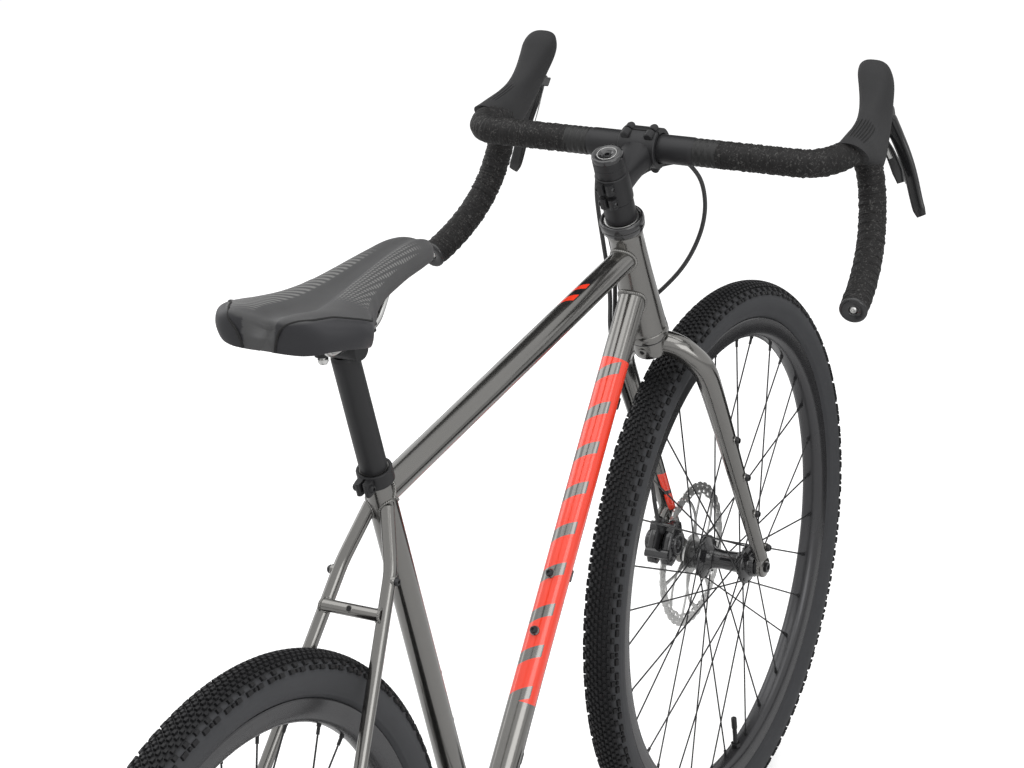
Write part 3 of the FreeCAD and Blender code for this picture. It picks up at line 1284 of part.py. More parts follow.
def cord(label, points):
    """A hose through the points, with every bend as wide as its runs allow."""
    radii = widest_radii(points)
    solid = bent(label + "_hose", HOSE_RADIUS, points, radii)
    doc.recompute()
    length = rounded_wire(points, radii).Length
    expected = math.pi * HOSE_RADIUS ** 2 * length
    ratio = solid.Shape.Volume / expected
    print(label, "length", round(length), "volume ratio", round(ratio, 4))
    print(label, "radii", [round(radius) for radius in radii])
    return keep(label, solid)


def cords():
    """The front hose stays on the fork; the rear hose and the shift housing cross to the frame."""
    front = [bar(10, -50, -18.5), bar(22, -54, -31), bar(35, -55, -53), bar(44, -52, -83), bar(45, -43, -115),
             bar(38, -27, -148), bar(27, -4, -175), bar(16, 22, -198), bar(-1, 41, -210), on_blade(8, 18, 0),
             on_blade(50, 16.5, 0), on_blade(100, 15.5, 0), on_blade(150, 15.2, 0), on_blade(192, 16, 0),
             on_blade(226, 24, -6), FRONT_INLET + STEER_UP * 22, FRONT_INLET]
    cord("front_brake_hose", front)
    left = [bar(10, 60, -18.5), bar(9, 62, -36), bar(0, 60.5, -58), bar(-5, 56, -82), bar(-11, 49, -110),
            bar(-20, 40, -140), bar(-31, 32, -168), bar(-50, 25, -200), down_tube_place(574, 22.5, 13),
            *under_frame(1), rear(235, 40.5, -50.5), rear(200, 42, -34), rear(175, 48, -12),
            rear(163, 53, 12), rear(150, 56, 32), REAR_INLET + FORWARD * 20, REAR_INLET]
    cord("rear_brake_hose", left)
    right = [bar(18, -50, -11), bar(30, -40, -20), bar(35, -16, -27), bar(34, 12, -36), bar(27, 34, -54),
             bar(15, 44, -84), bar(3, 42, -114), bar(-10, 36, -146), bar(-22, 31, -176), bar(-40, 25, -207),
             down_tube_place(572, 29, 8), *under_frame(-1), rear(215, -45.5, -48.5), rear(160, -58, -41),
             rear(105, -70, -31), rear(60, -80, -24), rear(20, -90, -20), rear(-16, -96, -22),
             rear(-42, -98, -33), rear(-56, -97, -54), rear(-52, -94, -77), rear(-34, -90, -90)]
    cord("shift_housing", right)


cords()


# Every object has to be sound before anything is written.

doc.recompute()
for feature in doc.Objects:
    if "Invalid" in feature.State or "Error" in feature.State:
        raise RuntimeError(f"{feature.Name} ({feature.Label}) failed: {feature.State}")
os.makedirs("parts", exist_ok=True)
for part in PARTS:
    if part.Shape.isNull() or not part.Shape.isValid() or not part.Shape.Solids:
        raise RuntimeError(f"{part.Label} is not a sound solid")
for part in PARTS:
    part.Shape.exportStep(f"parts/{part.Label}.step")
print(len(PARTS), "sub-parts,", LINKS, "chain links, cage at", round(math.degrees(CAGE_ANGLE), 1), "degrees")
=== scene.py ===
"""The looks of a drop-bar gravel bike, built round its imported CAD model.

Places are in millimetres in the bike's own frame: +X forward, +Y to the rider's left, +Z up.
They become metres when a piece's mesh is made.
"""

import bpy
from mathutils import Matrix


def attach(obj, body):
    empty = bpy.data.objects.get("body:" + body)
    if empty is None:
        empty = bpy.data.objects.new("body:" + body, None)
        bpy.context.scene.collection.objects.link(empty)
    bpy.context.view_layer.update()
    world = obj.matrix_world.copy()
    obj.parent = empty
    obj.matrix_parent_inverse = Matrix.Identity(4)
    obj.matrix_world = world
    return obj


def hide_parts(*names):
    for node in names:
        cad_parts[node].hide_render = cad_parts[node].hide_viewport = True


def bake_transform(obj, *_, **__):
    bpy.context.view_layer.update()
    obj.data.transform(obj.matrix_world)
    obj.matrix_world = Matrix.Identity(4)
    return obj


bl_info = {
    "name": "Gravel Bike Looks",
    "version": (1, 0, 0),
    "blender": (4, 5, 0),
    "location": "View3D > Sidebar > Bike",
    "description": "Builds the visible pieces of a gravel bike round its CAD frame",
    "category": "Add Mesh",
}

import math

import bpy
import numpy as np
from mathutils import Matrix

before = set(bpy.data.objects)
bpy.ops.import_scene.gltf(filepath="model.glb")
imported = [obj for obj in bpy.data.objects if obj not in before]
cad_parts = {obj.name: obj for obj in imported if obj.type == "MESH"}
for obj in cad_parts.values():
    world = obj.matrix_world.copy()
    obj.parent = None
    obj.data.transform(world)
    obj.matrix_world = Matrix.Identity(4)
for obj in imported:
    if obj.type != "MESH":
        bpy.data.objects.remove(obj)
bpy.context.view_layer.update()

MM = 0.001
TAU = 2 * math.pi
SIDES = {"left": 1, "right": -1}


def vec(*xyz):
    """Three numbers as an array."""
    return np.array(xyz, float)


def unit(v):
    """The same direction, one long."""
    v = np.asarray(v, float)
    return v / np.linalg.norm(v, axis=-1, keepdims=True)


AHEAD, LEFT, UP = vec(1, 0, 0), vec(0, 1, 0), vec(0, 0, 1)
HEAD_ANGLE, SEAT_ANGLE = math.radians(70.6), math.radians(74.5)
STEER_UP = vec(-math.cos(HEAD_ANGLE), 0, math.sin(HEAD_ANGLE))
STEER_AHEAD = vec(math.sin(HEAD_ANGLE), 0, math.cos(HEAD_ANGLE))
SEAT_UP = vec(-math.cos(SEAT_ANGLE), 0, math.sin(SEAT_ANGLE))
SEAT_AHEAD = vec(math.sin(SEAT_ANGLE), 0, math.cos(SEAT_ANGLE))
WHEELBASE, AXLE_HEIGHT, FORK_RAKE = 1050, 342.5, 51
STAY_LENGTH, CRANK_DROP = 430, 75
STEM_HEIGHT, STEM_REACH = 601.4, 77.2
FRONT_AXLE, REAR_AXLE = (vec(way * WHEELBASE / 2, 0, AXLE_HEIGHT) for way in (1, -1))
STEER_FOOT = FRONT_AXLE - STEER_AHEAD * FORK_RAKE
CRANK_AXLE = REAR_AXLE + vec(math.sqrt(STAY_LENGTH ** 2 - CRANK_DROP ** 2), 0, -CRANK_DROP)


def steer(up, ahead=0, left=0):
    """A place along the steering axis, from the foot of the front axle on it."""
    return STEER_FOOT + STEER_UP * up + STEER_AHEAD * ahead + LEFT * left


def seat(up, ahead=0, left=0):
    """A place along the seat tube's axis, from the crank axle."""
    return CRANK_AXLE + SEAT_UP * up + SEAT_AHEAD * ahead + LEFT * left


def rear(ahead, left, up):
    """A place from the rear axle."""
    return REAR_AXLE + vec(ahead, left, up)


def crank(ahead, left, up):
    """A place from the crank axle."""
    return CRANK_AXLE + vec(ahead, left, up)


BAR = steer(STEM_HEIGHT, STEM_REACH)
SADDLE = seat(672)
DOWN_LOW, DOWN_HIGH = CRANK_AXLE + AHEAD * 4, steer(470)
DOWN_WAY = unit(DOWN_HIGH - DOWN_LOW)
DOWN_UNDER = np.cross(LEFT, DOWN_WAY)
BLADE_KNEE, BLADE_FOOT = steer(377, 15, 53), steer(26, 48.5, 54.5)
BLADE_WAY = unit(BLADE_FOOT - BLADE_KNEE)
BLADE_BEHIND = np.cross(LEFT, BLADE_WAY)


def bar(ahead, left, up):
    """A place from the centre of the bar's clamp."""
    return BAR + vec(ahead, left, up)


def down_tube(along, under=0, left=0):
    """A place along the down tube from its lower end."""
    return DOWN_LOW + DOWN_WAY * along + DOWN_UNDER * under + LEFT * left


def on_blade(along, behind=0, left=0):
    """A place down the left fork blade from its knee."""
    return BLADE_KNEE + BLADE_WAY * along + BLADE_BEHIND * behind + LEFT * left


def to_side(points, side):
    """The same points on the left (1) or the right (-1)."""
    return np.asarray(points, float) * vec(1, side, 1)


# Surfaces: a shell is (points, faces), and a face with -1 as its last corner is a triangle.


def outward(points, faces):
    """Faces turned so that the closed shell's volume, summed over its faces, is positive."""
    p = points - points.mean(0)
    fourth = np.where(faces[:, 3] < 0, faces[:, 2], faces[:, 3])
    a, b, c, d = p[faces[:, 0]], p[faces[:, 1]], p[faces[:, 2]], p[fourth]
    volume = (a * np.cross(b, c)).sum() + (a * np.cross(c, d)).sum()
    if volume < 0:
        flipped = faces[:, [2, 1, 0, 3]]
        quads = faces[:, 3] >= 0
        flipped[quads] = faces[quads][:, ::-1]
        faces = flipped
    return points, faces


def grid(points, looped=False):
    """Quads between the neighbours of a grid whose columns close round.

    The rows close too where looped is set. Otherwise the first and last rows close on their middles.
    """
    rows, columns, _ = points.shape
    row = np.arange(rows if looped else rows - 1)[:, None]
    column = np.arange(columns)[None, :]
    beyond, onward = (row + 1) % rows, (column + 1) % columns
    near, far = row * columns, beyond * columns
    corners = (near + column, near + onward, far + onward, far + column)
    faces = np.stack(corners, -1).reshape(-1, 4)
    flat = points.reshape(-1, 3)
    if not looped:
        ring = np.arange(columns)
        following = (ring + 1) % columns
        last = (rows - 1) * columns
        hub = np.full(columns, rows * columns)
        none = np.full(columns, -1)
        faces = np.vstack([faces, np.stack([hub, following, ring, none], -1),
                           np.stack([hub + 1, last + ring, last + following, none], -1)])
        flat = np.vstack([flat, points[0].mean(0), points[-1].mean(0)])
    return outward(flat, faces)


def joined(*shells):
    """Several shells as one."""
    starts = np.cumsum([0] + [len(points) for points, _ in shells])
    faces = [np.where(face < 0, -1, face + start) for (_, face), start in zip(shells, starts)]
    return np.vstack([points for points, _ in shells]), np.vstack(faces)


def copies(shell, origins, axes):
    """The shell at each origin, turned to each set of three axes."""
    points, faces = shell
    many = np.einsum("pk,nkj->npj", points, axes) + origins[:, None, :]
    steps = (np.arange(len(origins)) * len(points))[:, None, None]
    repeated = np.where(faces[None] < 0, -1, faces[None] + steps)
    return many.reshape(-1, 3), repeated.reshape(-1, 4)


def through(rows, count):
    """A smooth line through rows of numbers: cubic pieces with the slope between the neighbours."""
    rows = np.asarray(rows, float)
    at = np.linspace(0, len(rows) - 1, count)
    low = np.minimum(at.astype(int), len(rows) - 2)
    f = (at - low)[:, None]
    slope = np.gradient(rows, axis=0)
    return (rows[low] * (2 * f ** 3 - 3 * f ** 2 + 1) + slope[low] * (f ** 3 - 2 * f ** 2 + f)
            + rows[low + 1] * (3 * f ** 2 - 2 * f ** 3) + slope[low + 1] * (f ** 3 - f ** 2))


def bowed(points, count=64):
    """A quadratic B-spline on control points, at even steps of length: it starts and ends on the
    outer points, and touches each inner leg at its middle."""
    points = np.asarray(points, float)
    middles = (points[1:] + points[:-1]) / 2
    middles[0], middles[-1] = points[0], points[-1]
    t = np.linspace(0, 1, 40)[None, :, None]
    start, corner, end = middles[:-1, None], points[1:-1, None], middles[1:, None]
    line = (start * (1 - t) ** 2 + corner * 2 * t * (1 - t) + end * t ** 2).reshape(-1, points.shape[1])
    steps = np.linalg.norm(np.diff(line, axis=0), axis=1)
    line = line[np.r_[True, steps > 1e-9]]
    place = np.r_[0, np.cumsum(np.linalg.norm(np.diff(line, axis=0), axis=1))]
    even = np.linspace(0, place[-1], count)
    return np.stack([np.interp(even, place, line[:, axis]) for axis in range(line.shape[1])], -1)


def around(count):
    """Even angles round a full turn."""
    return np.arange(count) / count * TAU


def squared(angle, power):
    """The cosine and the sine of an angle on a superellipse."""
    share = 2 / power
    return [np.sign(x) * np.abs(x) ** share for x in (np.cos(angle), np.sin(angle))]


def rings(path, wide, deep=None, ref=(0, 0, 1), power=2.0, sides=32):
    """Rings of points square to a path: superellipses with half-axes wide, along ref crossed with the
    path, and deep. The power is 2 for an ellipse, and more for a rounded block."""
    path = np.asarray(path, float)
    way = unit(np.gradient(path, axis=0))
    across = unit(np.cross(np.asarray(ref, float), way))
    over = np.cross(way, across)

    def column(number):
        number = np.asarray(number, float)
        return number[:, None] if number.ndim == 1 else number

    c, s = squared(around(sides), column(power))
    wide = column(wide)
    deep = wide if deep is None else column(deep)
    c, s = (np.broadcast_to(x, (len(path), sides)) for x in (wide * c, deep * s))
    return path[:, None] + c[..., None] * across[:, None] + s[..., None] * over[:, None]


def tube(path, wide, deep=None, **how):
    """A closed bar along a path."""
    return grid(rings(path, wide, deep, **how))


def eased(profile, reach, looped=False):
    """Each corner of a profile cut back to two points, so that its edges catch the light."""
    p = np.asarray(profile, float)
    back, onward = np.roll(p, 1, 0) - p, np.roll(p, -1, 0) - p
    size = [np.linalg.norm(x, axis=1, keepdims=True) for x in (back, onward)]
    cut = [p + x * np.minimum(reach / np.maximum(n, 1e-9), 0.45) for x, n in zip((back, onward), size)]
    out = np.stack(cut, 1).reshape(-1, p.shape[1])
    return out if looped else np.vstack([p[:1], out[2:-2], p[-1:]])


def turned(profile, centre, axis=LEFT, sides=64, looped=False):
    """A lathe form: profile rows are (radius, place along the axis), carried round the axis."""
    profile = np.asarray(profile, float)
    axis = unit(axis)
    first = unit(np.cross(axis, vec(0.3, 0.2, 0.9) if abs(axis[2]) < 0.8 else vec(0.9, 0.1, 0.2)))
    second = np.cross(axis, first)
    angle = around(sides)
    ring = np.cos(angle)[:, None] * first + np.sin(angle)[:, None] * second
    points = centre + profile[:, 1, None, None] * axis + profile[:, 0, None, None] * ring
    return grid(points, looped)


def turned_ring(profile, ease, centre, axis, sides):
    """A lathe form whose eased profile closes on itself."""
    return turned(eased(profile, ease, True), centre, axis, sides, True)


def washer(bore, radius, low, high, ease, centre, axis, sides):
    """A plain ring between two radii and two places along its axis."""
    return turned_ring([(bore, low), (radius, low), (radius, high), (bore, high)], ease, centre, axis, sides)


def rods(starts, ends, radius, sides=8):
    """Many round bars at once: a ring at each start and at each end, with flat ends."""
    starts, ends = np.atleast_2d(starts), np.atleast_2d(ends)
    way = unit(ends - starts)
    ref = np.where(np.abs(way[:, 1:2]) > 0.8, AHEAD, LEFT)
    first = unit(np.cross(way, ref))
    second = np.cross(way, first)
    angle = around(sides)
    ring = np.cos(angle)[None, :, None] * first[:, None] + np.sin(angle)[None, :, None] * second[:, None]
    one = grid(np.stack([ring[0], ring[0] + way[0]]))[1]
    both = np.stack([starts[:, None] + ring * radius, ends[:, None] + ring * radius], 1)
    flat = np.concatenate([both.reshape(len(starts), -1, 3), starts[:, None], ends[:, None]], 1)
    steps = (np.arange(len(starts)) * flat.shape[1])[:, None, None]
    faces = np.where(one[None] < 0, -1, one[None] + steps).reshape(-1, 4)
    return flat.reshape(-1, 3), faces


def plate(outline, thickness, centre, first, second, ease=0.8, hub=(0, 0)):
    """A flat plate: its outline at four depths, drawn in towards the hub point at both faces."""
    flat = np.asarray(outline, float) - hub
    inner = flat * (1 - ease / np.linalg.norm(flat, axis=1, keepdims=True))
    normal = np.cross(first, second)
    depths = (-thickness / 2, ease - thickness / 2, thickness / 2 - ease, thickness / 2)
    rows = [centre + (edge[:, :1] + hub[0]) * first + (edge[:, 1:] + hub[1]) * second + normal * depth
            for edge, depth in zip((inner, flat, flat, inner), depths)]
    return grid(np.stack(rows))


def bolt(place, axis, radius=4.2, height=4.0, socket=1.9, sides=24):
    """A button head with a socket, standing on its place along the axis."""
    profile = [(socket, height - 1.8), (socket, height), (radius * 0.72, height), (radius, height * 0.5),
               (radius, 0)]
    return turned(profile, place, axis, sides)


def on_grid(points, row, column):
    """Places on a grid at fractional rows and columns, weighted between the four neighbours."""
    row = np.clip(row, 0, len(points) - 1.001)
    column = np.mod(column, points.shape[1])
    r, c = row.astype(int), column.astype(int)
    fr, fc = (row - r)[..., None], (column - c)[..., None]
    c2 = (c + 1) % points.shape[1]
    low = points[r, c] * (1 - fc) + points[r, c2] * fc
    return low * (1 - fr) + (points[r + 1, c] * (1 - fc) + points[r + 1, c2] * fc) * fr


def placed(name, data):
    """A new object in the scene."""
    made = bpy.data.objects.new(name, data)
    bpy.context.scene.collection.objects.link(made)
    return made


def piece(name, parts, body, replaces=(), sharp=34.0, traits=None):
    """One object from {material: shell}, smooth up to an angle, riding on a CAD body."""
    shells = list(parts.values())
    points, faces = joined(*shells)
    mesh = bpy.data.meshes.new(name)
    mesh.vertices.add(len(points))
    mesh.vertices.foreach_set("co", (points * MM).astype(np.float32).ravel())
    sizes = np.where(faces[:, 3] < 0, 3, 4)
    corners = faces[faces >= 0]
    mesh.loops.add(len(corners))
    mesh.loops.foreach_set("vertex_index", corners.astype(np.int32))
    mesh.polygons.add(len(faces))
    mesh.polygons.foreach_set("loop_start", (np.cumsum(sizes) - sizes).astype(np.int32))
    for material in parts:
        mesh.materials.append(finish(material))
    counts = [len(shell[1]) for shell in shells]
    mesh.polygons.foreach_set("material_index", np.repeat(np.arange(len(counts)), counts).astype(np.int32))
    mesh.polygons.foreach_set("use_smooth", np.ones(len(faces), bool))
    for trait, values in (traits or {}).items():
        attribute = mesh.attributes.new(trait, "FLOAT", "POINT")
        attribute.data.foreach_set("value", np.asarray(values, np.float32))
    mesh.update(calc_edges=True)
    if mesh.validate():
        raise RuntimeError(f"{name} has faces that don't fit together")
    mesh.set_sharp_from_angle(angle=math.radians(sharp))
    made = placed(name, mesh)
    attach(made, body)
    if replaces:
        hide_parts(*replaces)
    return made


# Finishes: shader maths as expressions


class Signal:
    """A socket that maths can be written with, such as 1 - mask."""

    def __init__(self, paint, socket):
        self.paint = paint
        self.socket = socket

    def maths(self, operation, *terms):
        """The value of one maths node."""
        return self.paint.node("ShaderNodeMath", {"operation": operation}, dict(enumerate(terms)))

    def __add__(self, other):
        return self.maths("ADD", self, other)

    def __sub__(self, other):
        return self.maths("SUBTRACT", self, other)

    def __rsub__(self, other):
        return self.maths("SUBTRACT", other, self)

    def __mul__(self, other):
        return self.maths("MULTIPLY", self, other)

    def __truediv__(self, other):
        return self.maths("DIVIDE", self, other)

    def __gt__(self, other):
        return self.maths("GREATER_THAN", self, other)

    def __lt__(self, other):
        return self.maths("LESS_THAN", self, other)

    def of(self, operation):
        """A function of this value alone, such as SINE or FRACT."""
        return self.maths(operation, self)

    def band(self, low, high):
        """1 between two values and 0 outside them."""
        return (self > low) * (self < high)

    __radd__ = __add__


class Paint:
    """A material on the standard shader, whose nodes are added by type."""

    def __init__(self, name, **constants):
        self.material = bpy.data.materials.new(name)
        self.material.use_nodes = True
        self.tree = self.material.node_tree
        self.shader = self.tree.nodes["Principled BSDF"]
        self.place = self.node("ShaderNodeTexCoord", output="Object")
        self.set({key.replace("_", " "): value for key, value in constants.items()})

    def node(self, kind, settings=None, sockets=None, output=0):
        """A node of a type, with its settings first, then its sockets' values or links."""
        made = self.tree.nodes.new(kind)
        for key, value in (settings or {}).items():
            setattr(made, key, value)
        self.fill(made, sockets or {})
        return Signal(self, made.outputs[output])

    def fill(self, node, sockets):
        """Gives a node's sockets their links or values."""
        for key, value in sockets.items():
            if isinstance(value, Signal):
                self.tree.links.new(value.socket, node.inputs[key])
            elif isinstance(value, tuple) and len(value) == 3 and node.inputs[key].type == "RGBA":
                node.inputs[key].default_value = (*value, 1.0)
            else:
                node.inputs[key].default_value = value

    def set(self, sockets):
        """Gives the shader's own sockets their links or values."""
        self.fill(self.shader, sockets)

    def noise(self, scale, detail=3.0, stretch=None, distortion=0.0):
        """Soft noise, stretched along each axis where that is asked for."""
        place = self.stretched(*stretch) if stretch else self.place
        sockets = {"Vector": place, "Scale": scale, "Detail": detail, "Distortion": distortion}
        return self.node("ShaderNodeTexNoise", {}, sockets)

    def cells(self, scale):
        """The distance from the nearest of many scattered points."""
        return self.node("ShaderNodeTexVoronoi", {}, {"Vector": self.place, "Scale": scale})

    def mix(self, share, low, high):
        """A colour between two colours."""
        sockets = {0: share, 6: low, 7: high}
        return self.node("ShaderNodeMix", {"data_type": "RGBA"}, sockets, output=2)

    def stretched(self, x, y, z):
        """Object coordinates scaled along each axis."""
        return self.node("ShaderNodeMapping", {}, {"Vector": self.place, "Scale": (x, y, z)})

    def axis(self, index):
        """One of the object coordinates."""
        return self.node("ShaderNodeSeparateXYZ", {}, {"Vector": self.place}, output=index)

    def along(self, way, start):
        """The distance in metres along a direction, from a starting place in millimetres."""
        way = tuple(float(x) for x in unit(way))
        sockets = {0: self.place, 1: way}
        reach = self.node("ShaderNodeVectorMath", {"operation": "DOT_PRODUCT"}, sockets, output=1)
        return reach - float(np.dot(start, way)) * MM

    def trait(self, name):
        """A value that the piece's points carry."""
        return self.node("ShaderNodeAttribute", {"attribute_name": name}, output=2)

    def bump(self, height, depth, below=None):
        """A normal raised by a height from 0 to 1, as deep as depth says in millimetres."""
        sockets = {"Height": height, "Distance": depth * MM, "Strength": 1.0}
        if below is not None:
            sockets["Normal"] = below
        return self.node("ShaderNodeBump", {}, sockets)


def painted_metal(paint, bands=None):
    """Metallic paint: fine flakes, a faint orange peel and soft dust, with coloured bands where given."""
    looks = bpy.context.scene.bike_paint
    flake = paint.cells(2600.0)
    tone = paint.noise(9.0, 2.0)
    base = tuple(looks.frame_colour)
    dark, light = tuple(x * 0.82 for x in base), tuple(min(x * 1.2, 1) for x in base)
    colour = paint.mix(flake * 0.7 + tone * 0.3, dark, light)
    metallic = 0.92
    for mask, shade in (bands(paint) if bands else ()):
        colour = paint.mix(mask, colour, shade)
        metallic = metallic - mask * 0.87
    peel = paint.noise(420.0, 1.0)
    paint.set({"Base Color": colour, "Metallic": metallic, "Roughness": 0.13 + flake * 0.07 + tone * 0.04,
               "Normal": paint.bump(peel, 0.02)})


def accent():
    """The colour of the plain blocks."""
    return tuple(bpy.context.scene.bike_paint.accent_colour)


def down_tube_bands(paint):
    """A plain field along the tube's sides, cut by slanted slots across its upper face."""
    along = paint.along(DOWN_WAY, DOWN_LOW)
    under = paint.along(DOWN_UNDER, DOWN_LOW)
    slant = along + paint.axis(1) * 0.6
    slot = ((slant / 0.046).of("FRACT") > 0.70) * (under < -0.009)
    field = along.band(0.172, 0.562) * (under < 0.010)
    return [(field * (1 - slot), accent())]


def top_tube_bands(paint):
    """Four small slanted blocks on the upper face near the head tube, two of them black."""
    along = paint.along(TOP_WAY, TOP_SEAT)
    over = paint.along(UP - TOP_WAY * TOP_WAY[2], TOP_SEAT)
    slant = along + paint.axis(1) * 0.8
    face = (over > 0.005) * (paint.axis(1) > -0.005)
    return [((slant.band(0.396, 0.410) + slant.band(0.425, 0.436)) * face, accent()),
            ((slant.band(0.412, 0.423) + slant.band(0.438, 0.449)) * face, (0.012, 0.012, 0.013))]


def blade_bands(paint):
    """Plain blocks low on the left blade's inner side."""
    along = paint.along(BLADE_WAY, BLADE_KNEE)
    across = paint.along(BLADE_BEHIND, BLADE_KNEE)
    slant = along + across * 0.6
    inner = paint.axis(1).band(0.030, 0.0485)
    return [((slant.band(0.232, 0.262) + slant.band(0.268, 0.296)) * inner, accent()),
            ((slant.band(0.262, 0.268) + slant.band(0.296, 0.310)) * inner, (0.012, 0.012, 0.013))]


def dark_metal(paint, colour, grain, rough):
    """Blasted and anodised metal: a fine grain in its tone, gloss and surface."""
    speck = paint.noise(grain, 2.0)
    smear = paint.noise(14.0, 3.0)
    light = tuple(min(x * 1.7 + 0.004, 1) for x in colour)
    paint.set({"Base Color": paint.mix(speck * 0.6 + smear * 0.4, colour, light),
               "Roughness": rough - 0.06 + smear * 0.12, "Normal": paint.bump(speck, 0.015)})


def two_tone(paint, tone, dark, light, rough, spread, depth=0.0, relief=None):
    """Two close colours and a roughness that follow one noise; that noise, or a finer one, is the relief."""
    mask = paint.noise(*tone)
    sockets = {"Base Color": paint.mix(mask, dark, light), "Roughness": rough + mask * spread}
    if depth:
        sockets["Normal"] = paint.bump(paint.noise(*relief) if relief else mask, depth)
    paint.set(sockets)


def ground_steel(paint):
    """Ground stainless steel: fine streaks round the wheel's axis and a little smear."""
    streak = paint.noise(1800.0, 2.0, (1, 0.1, 1))
    paint.set({"Base Color": paint.mix(paint.noise(30.0), (0.50, 0.50, 0.49), (0.64, 0.64, 0.63)),
               "Roughness": 0.22 + streak * 0.16, "Normal": paint.bump(streak, 0.01)})


def moulded_rubber(paint):
    """Soft rubber with a fine stipple, and grip ribs where the hood's traits put them, each with a dark line
    painted along it as painted shade.
    """
    grain = paint.cells(900.0)
    rib = ((paint.trait("rib") * TAU).of("SINE") * 0.5 + 0.5) * paint.trait("rib_zone")
    base = paint.mix(paint.noise(22.0), (0.024, 0.024, 0.025), (0.036, 0.036, 0.037))
    # Near-black lines painted along the ribs: painted shade.
    paint.set({"Base Color": paint.mix((rib > 0.55) * 0.85, base, (0.004, 0.004, 0.004)),
               "Roughness": 0.60 + grain * 0.12, "Normal": paint.bump(grain, 0.05, paint.bump(rib, 0.7))})


def tyre_rubber(paint):
    """Dusty rubber: the walls are paler than the tread."""
    fine = paint.noise(900.0, 2.0)
    dust = paint.noise(34.0, 4.0) * 0.6 + fine * 0.4
    tread = paint.trait("tread")
    wall = paint.mix(dust, (0.040, 0.041, 0.044), (0.056, 0.057, 0.061))
    knob = paint.mix(dust, (0.006, 0.006, 0.007), (0.018, 0.018, 0.019))
    paint.set({"Base Color": paint.mix(tread, wall, knob), "Roughness": 0.56 + fine * 0.14 - tread * 0.08,
               "Normal": paint.bump(fine, 0.05)})


def cork_tape(paint):
    """Cork-filled tape: pale flecks in a black foam, with creases along the wraps."""
    fleck = paint.noise(300.0, 4.0, None, 1.5) > 0.60
    streak = paint.noise(240.0, 3.0, (1.0, 0.55, 1.0))
    base = paint.mix(streak, (0.004, 0.004, 0.004), (0.018, 0.017, 0.017))
    relief = paint.bump(streak, 0.9, paint.bump(paint.noise(1300.0, 2.0), 0.12))
    paint.set({"Base Color": paint.mix(fleck * 0.4, base, (0.13, 0.127, 0.123)),
               "Roughness": 0.48 + streak * 0.22, "Normal": relief})


DOT_STEP, RIB_STEP = 0.0043, 0.0068


def coated_fabric(paint):
    """Coated fabric with a leather grain: dots and ribs where the traits put them, painted paler, which on
    the ribs is a painted highlight, and darker tail panels.
    """
    grain = paint.cells(1500.0)
    waves = [(paint.axis(k) * (math.pi / DOT_STEP)).of("SINE") for k in (0, 1)]
    spots = (waves[0] * waves[1]).of("ABSOLUTE") > 0.55
    stripe = ((paint.axis(0) + paint.axis(1) * 0.35) * (TAU / RIB_STEP)).of("SINE") > 0.0
    rib_highlight_and_dots = stripe * paint.trait("ribs") + spots * paint.trait("dots")
    panel = paint.trait("panel")
    base = paint.mix(paint.noise(26.0), (0.066, 0.066, 0.067), (0.086, 0.086, 0.087))
    base = paint.mix(panel, base, (0.032, 0.032, 0.035))
    # Ribs and dots painted paler: on the ribs this paler colour is a painted highlight.
    paint.set({"Base Color": paint.mix(rib_highlight_and_dots * 0.7, base, (0.23, 0.23, 0.225)),
               "Roughness": 0.50 + grain * 0.10 - panel * 0.06,
               "Normal": paint.bump(grain, 0.05, paint.bump(rib_highlight_and_dots, 0.35))})


COATED = {"Coat_Weight": 0.55, "Coat_Roughness": 0.05}
SOFT = {"Specular_IOR_Level": 0.22}
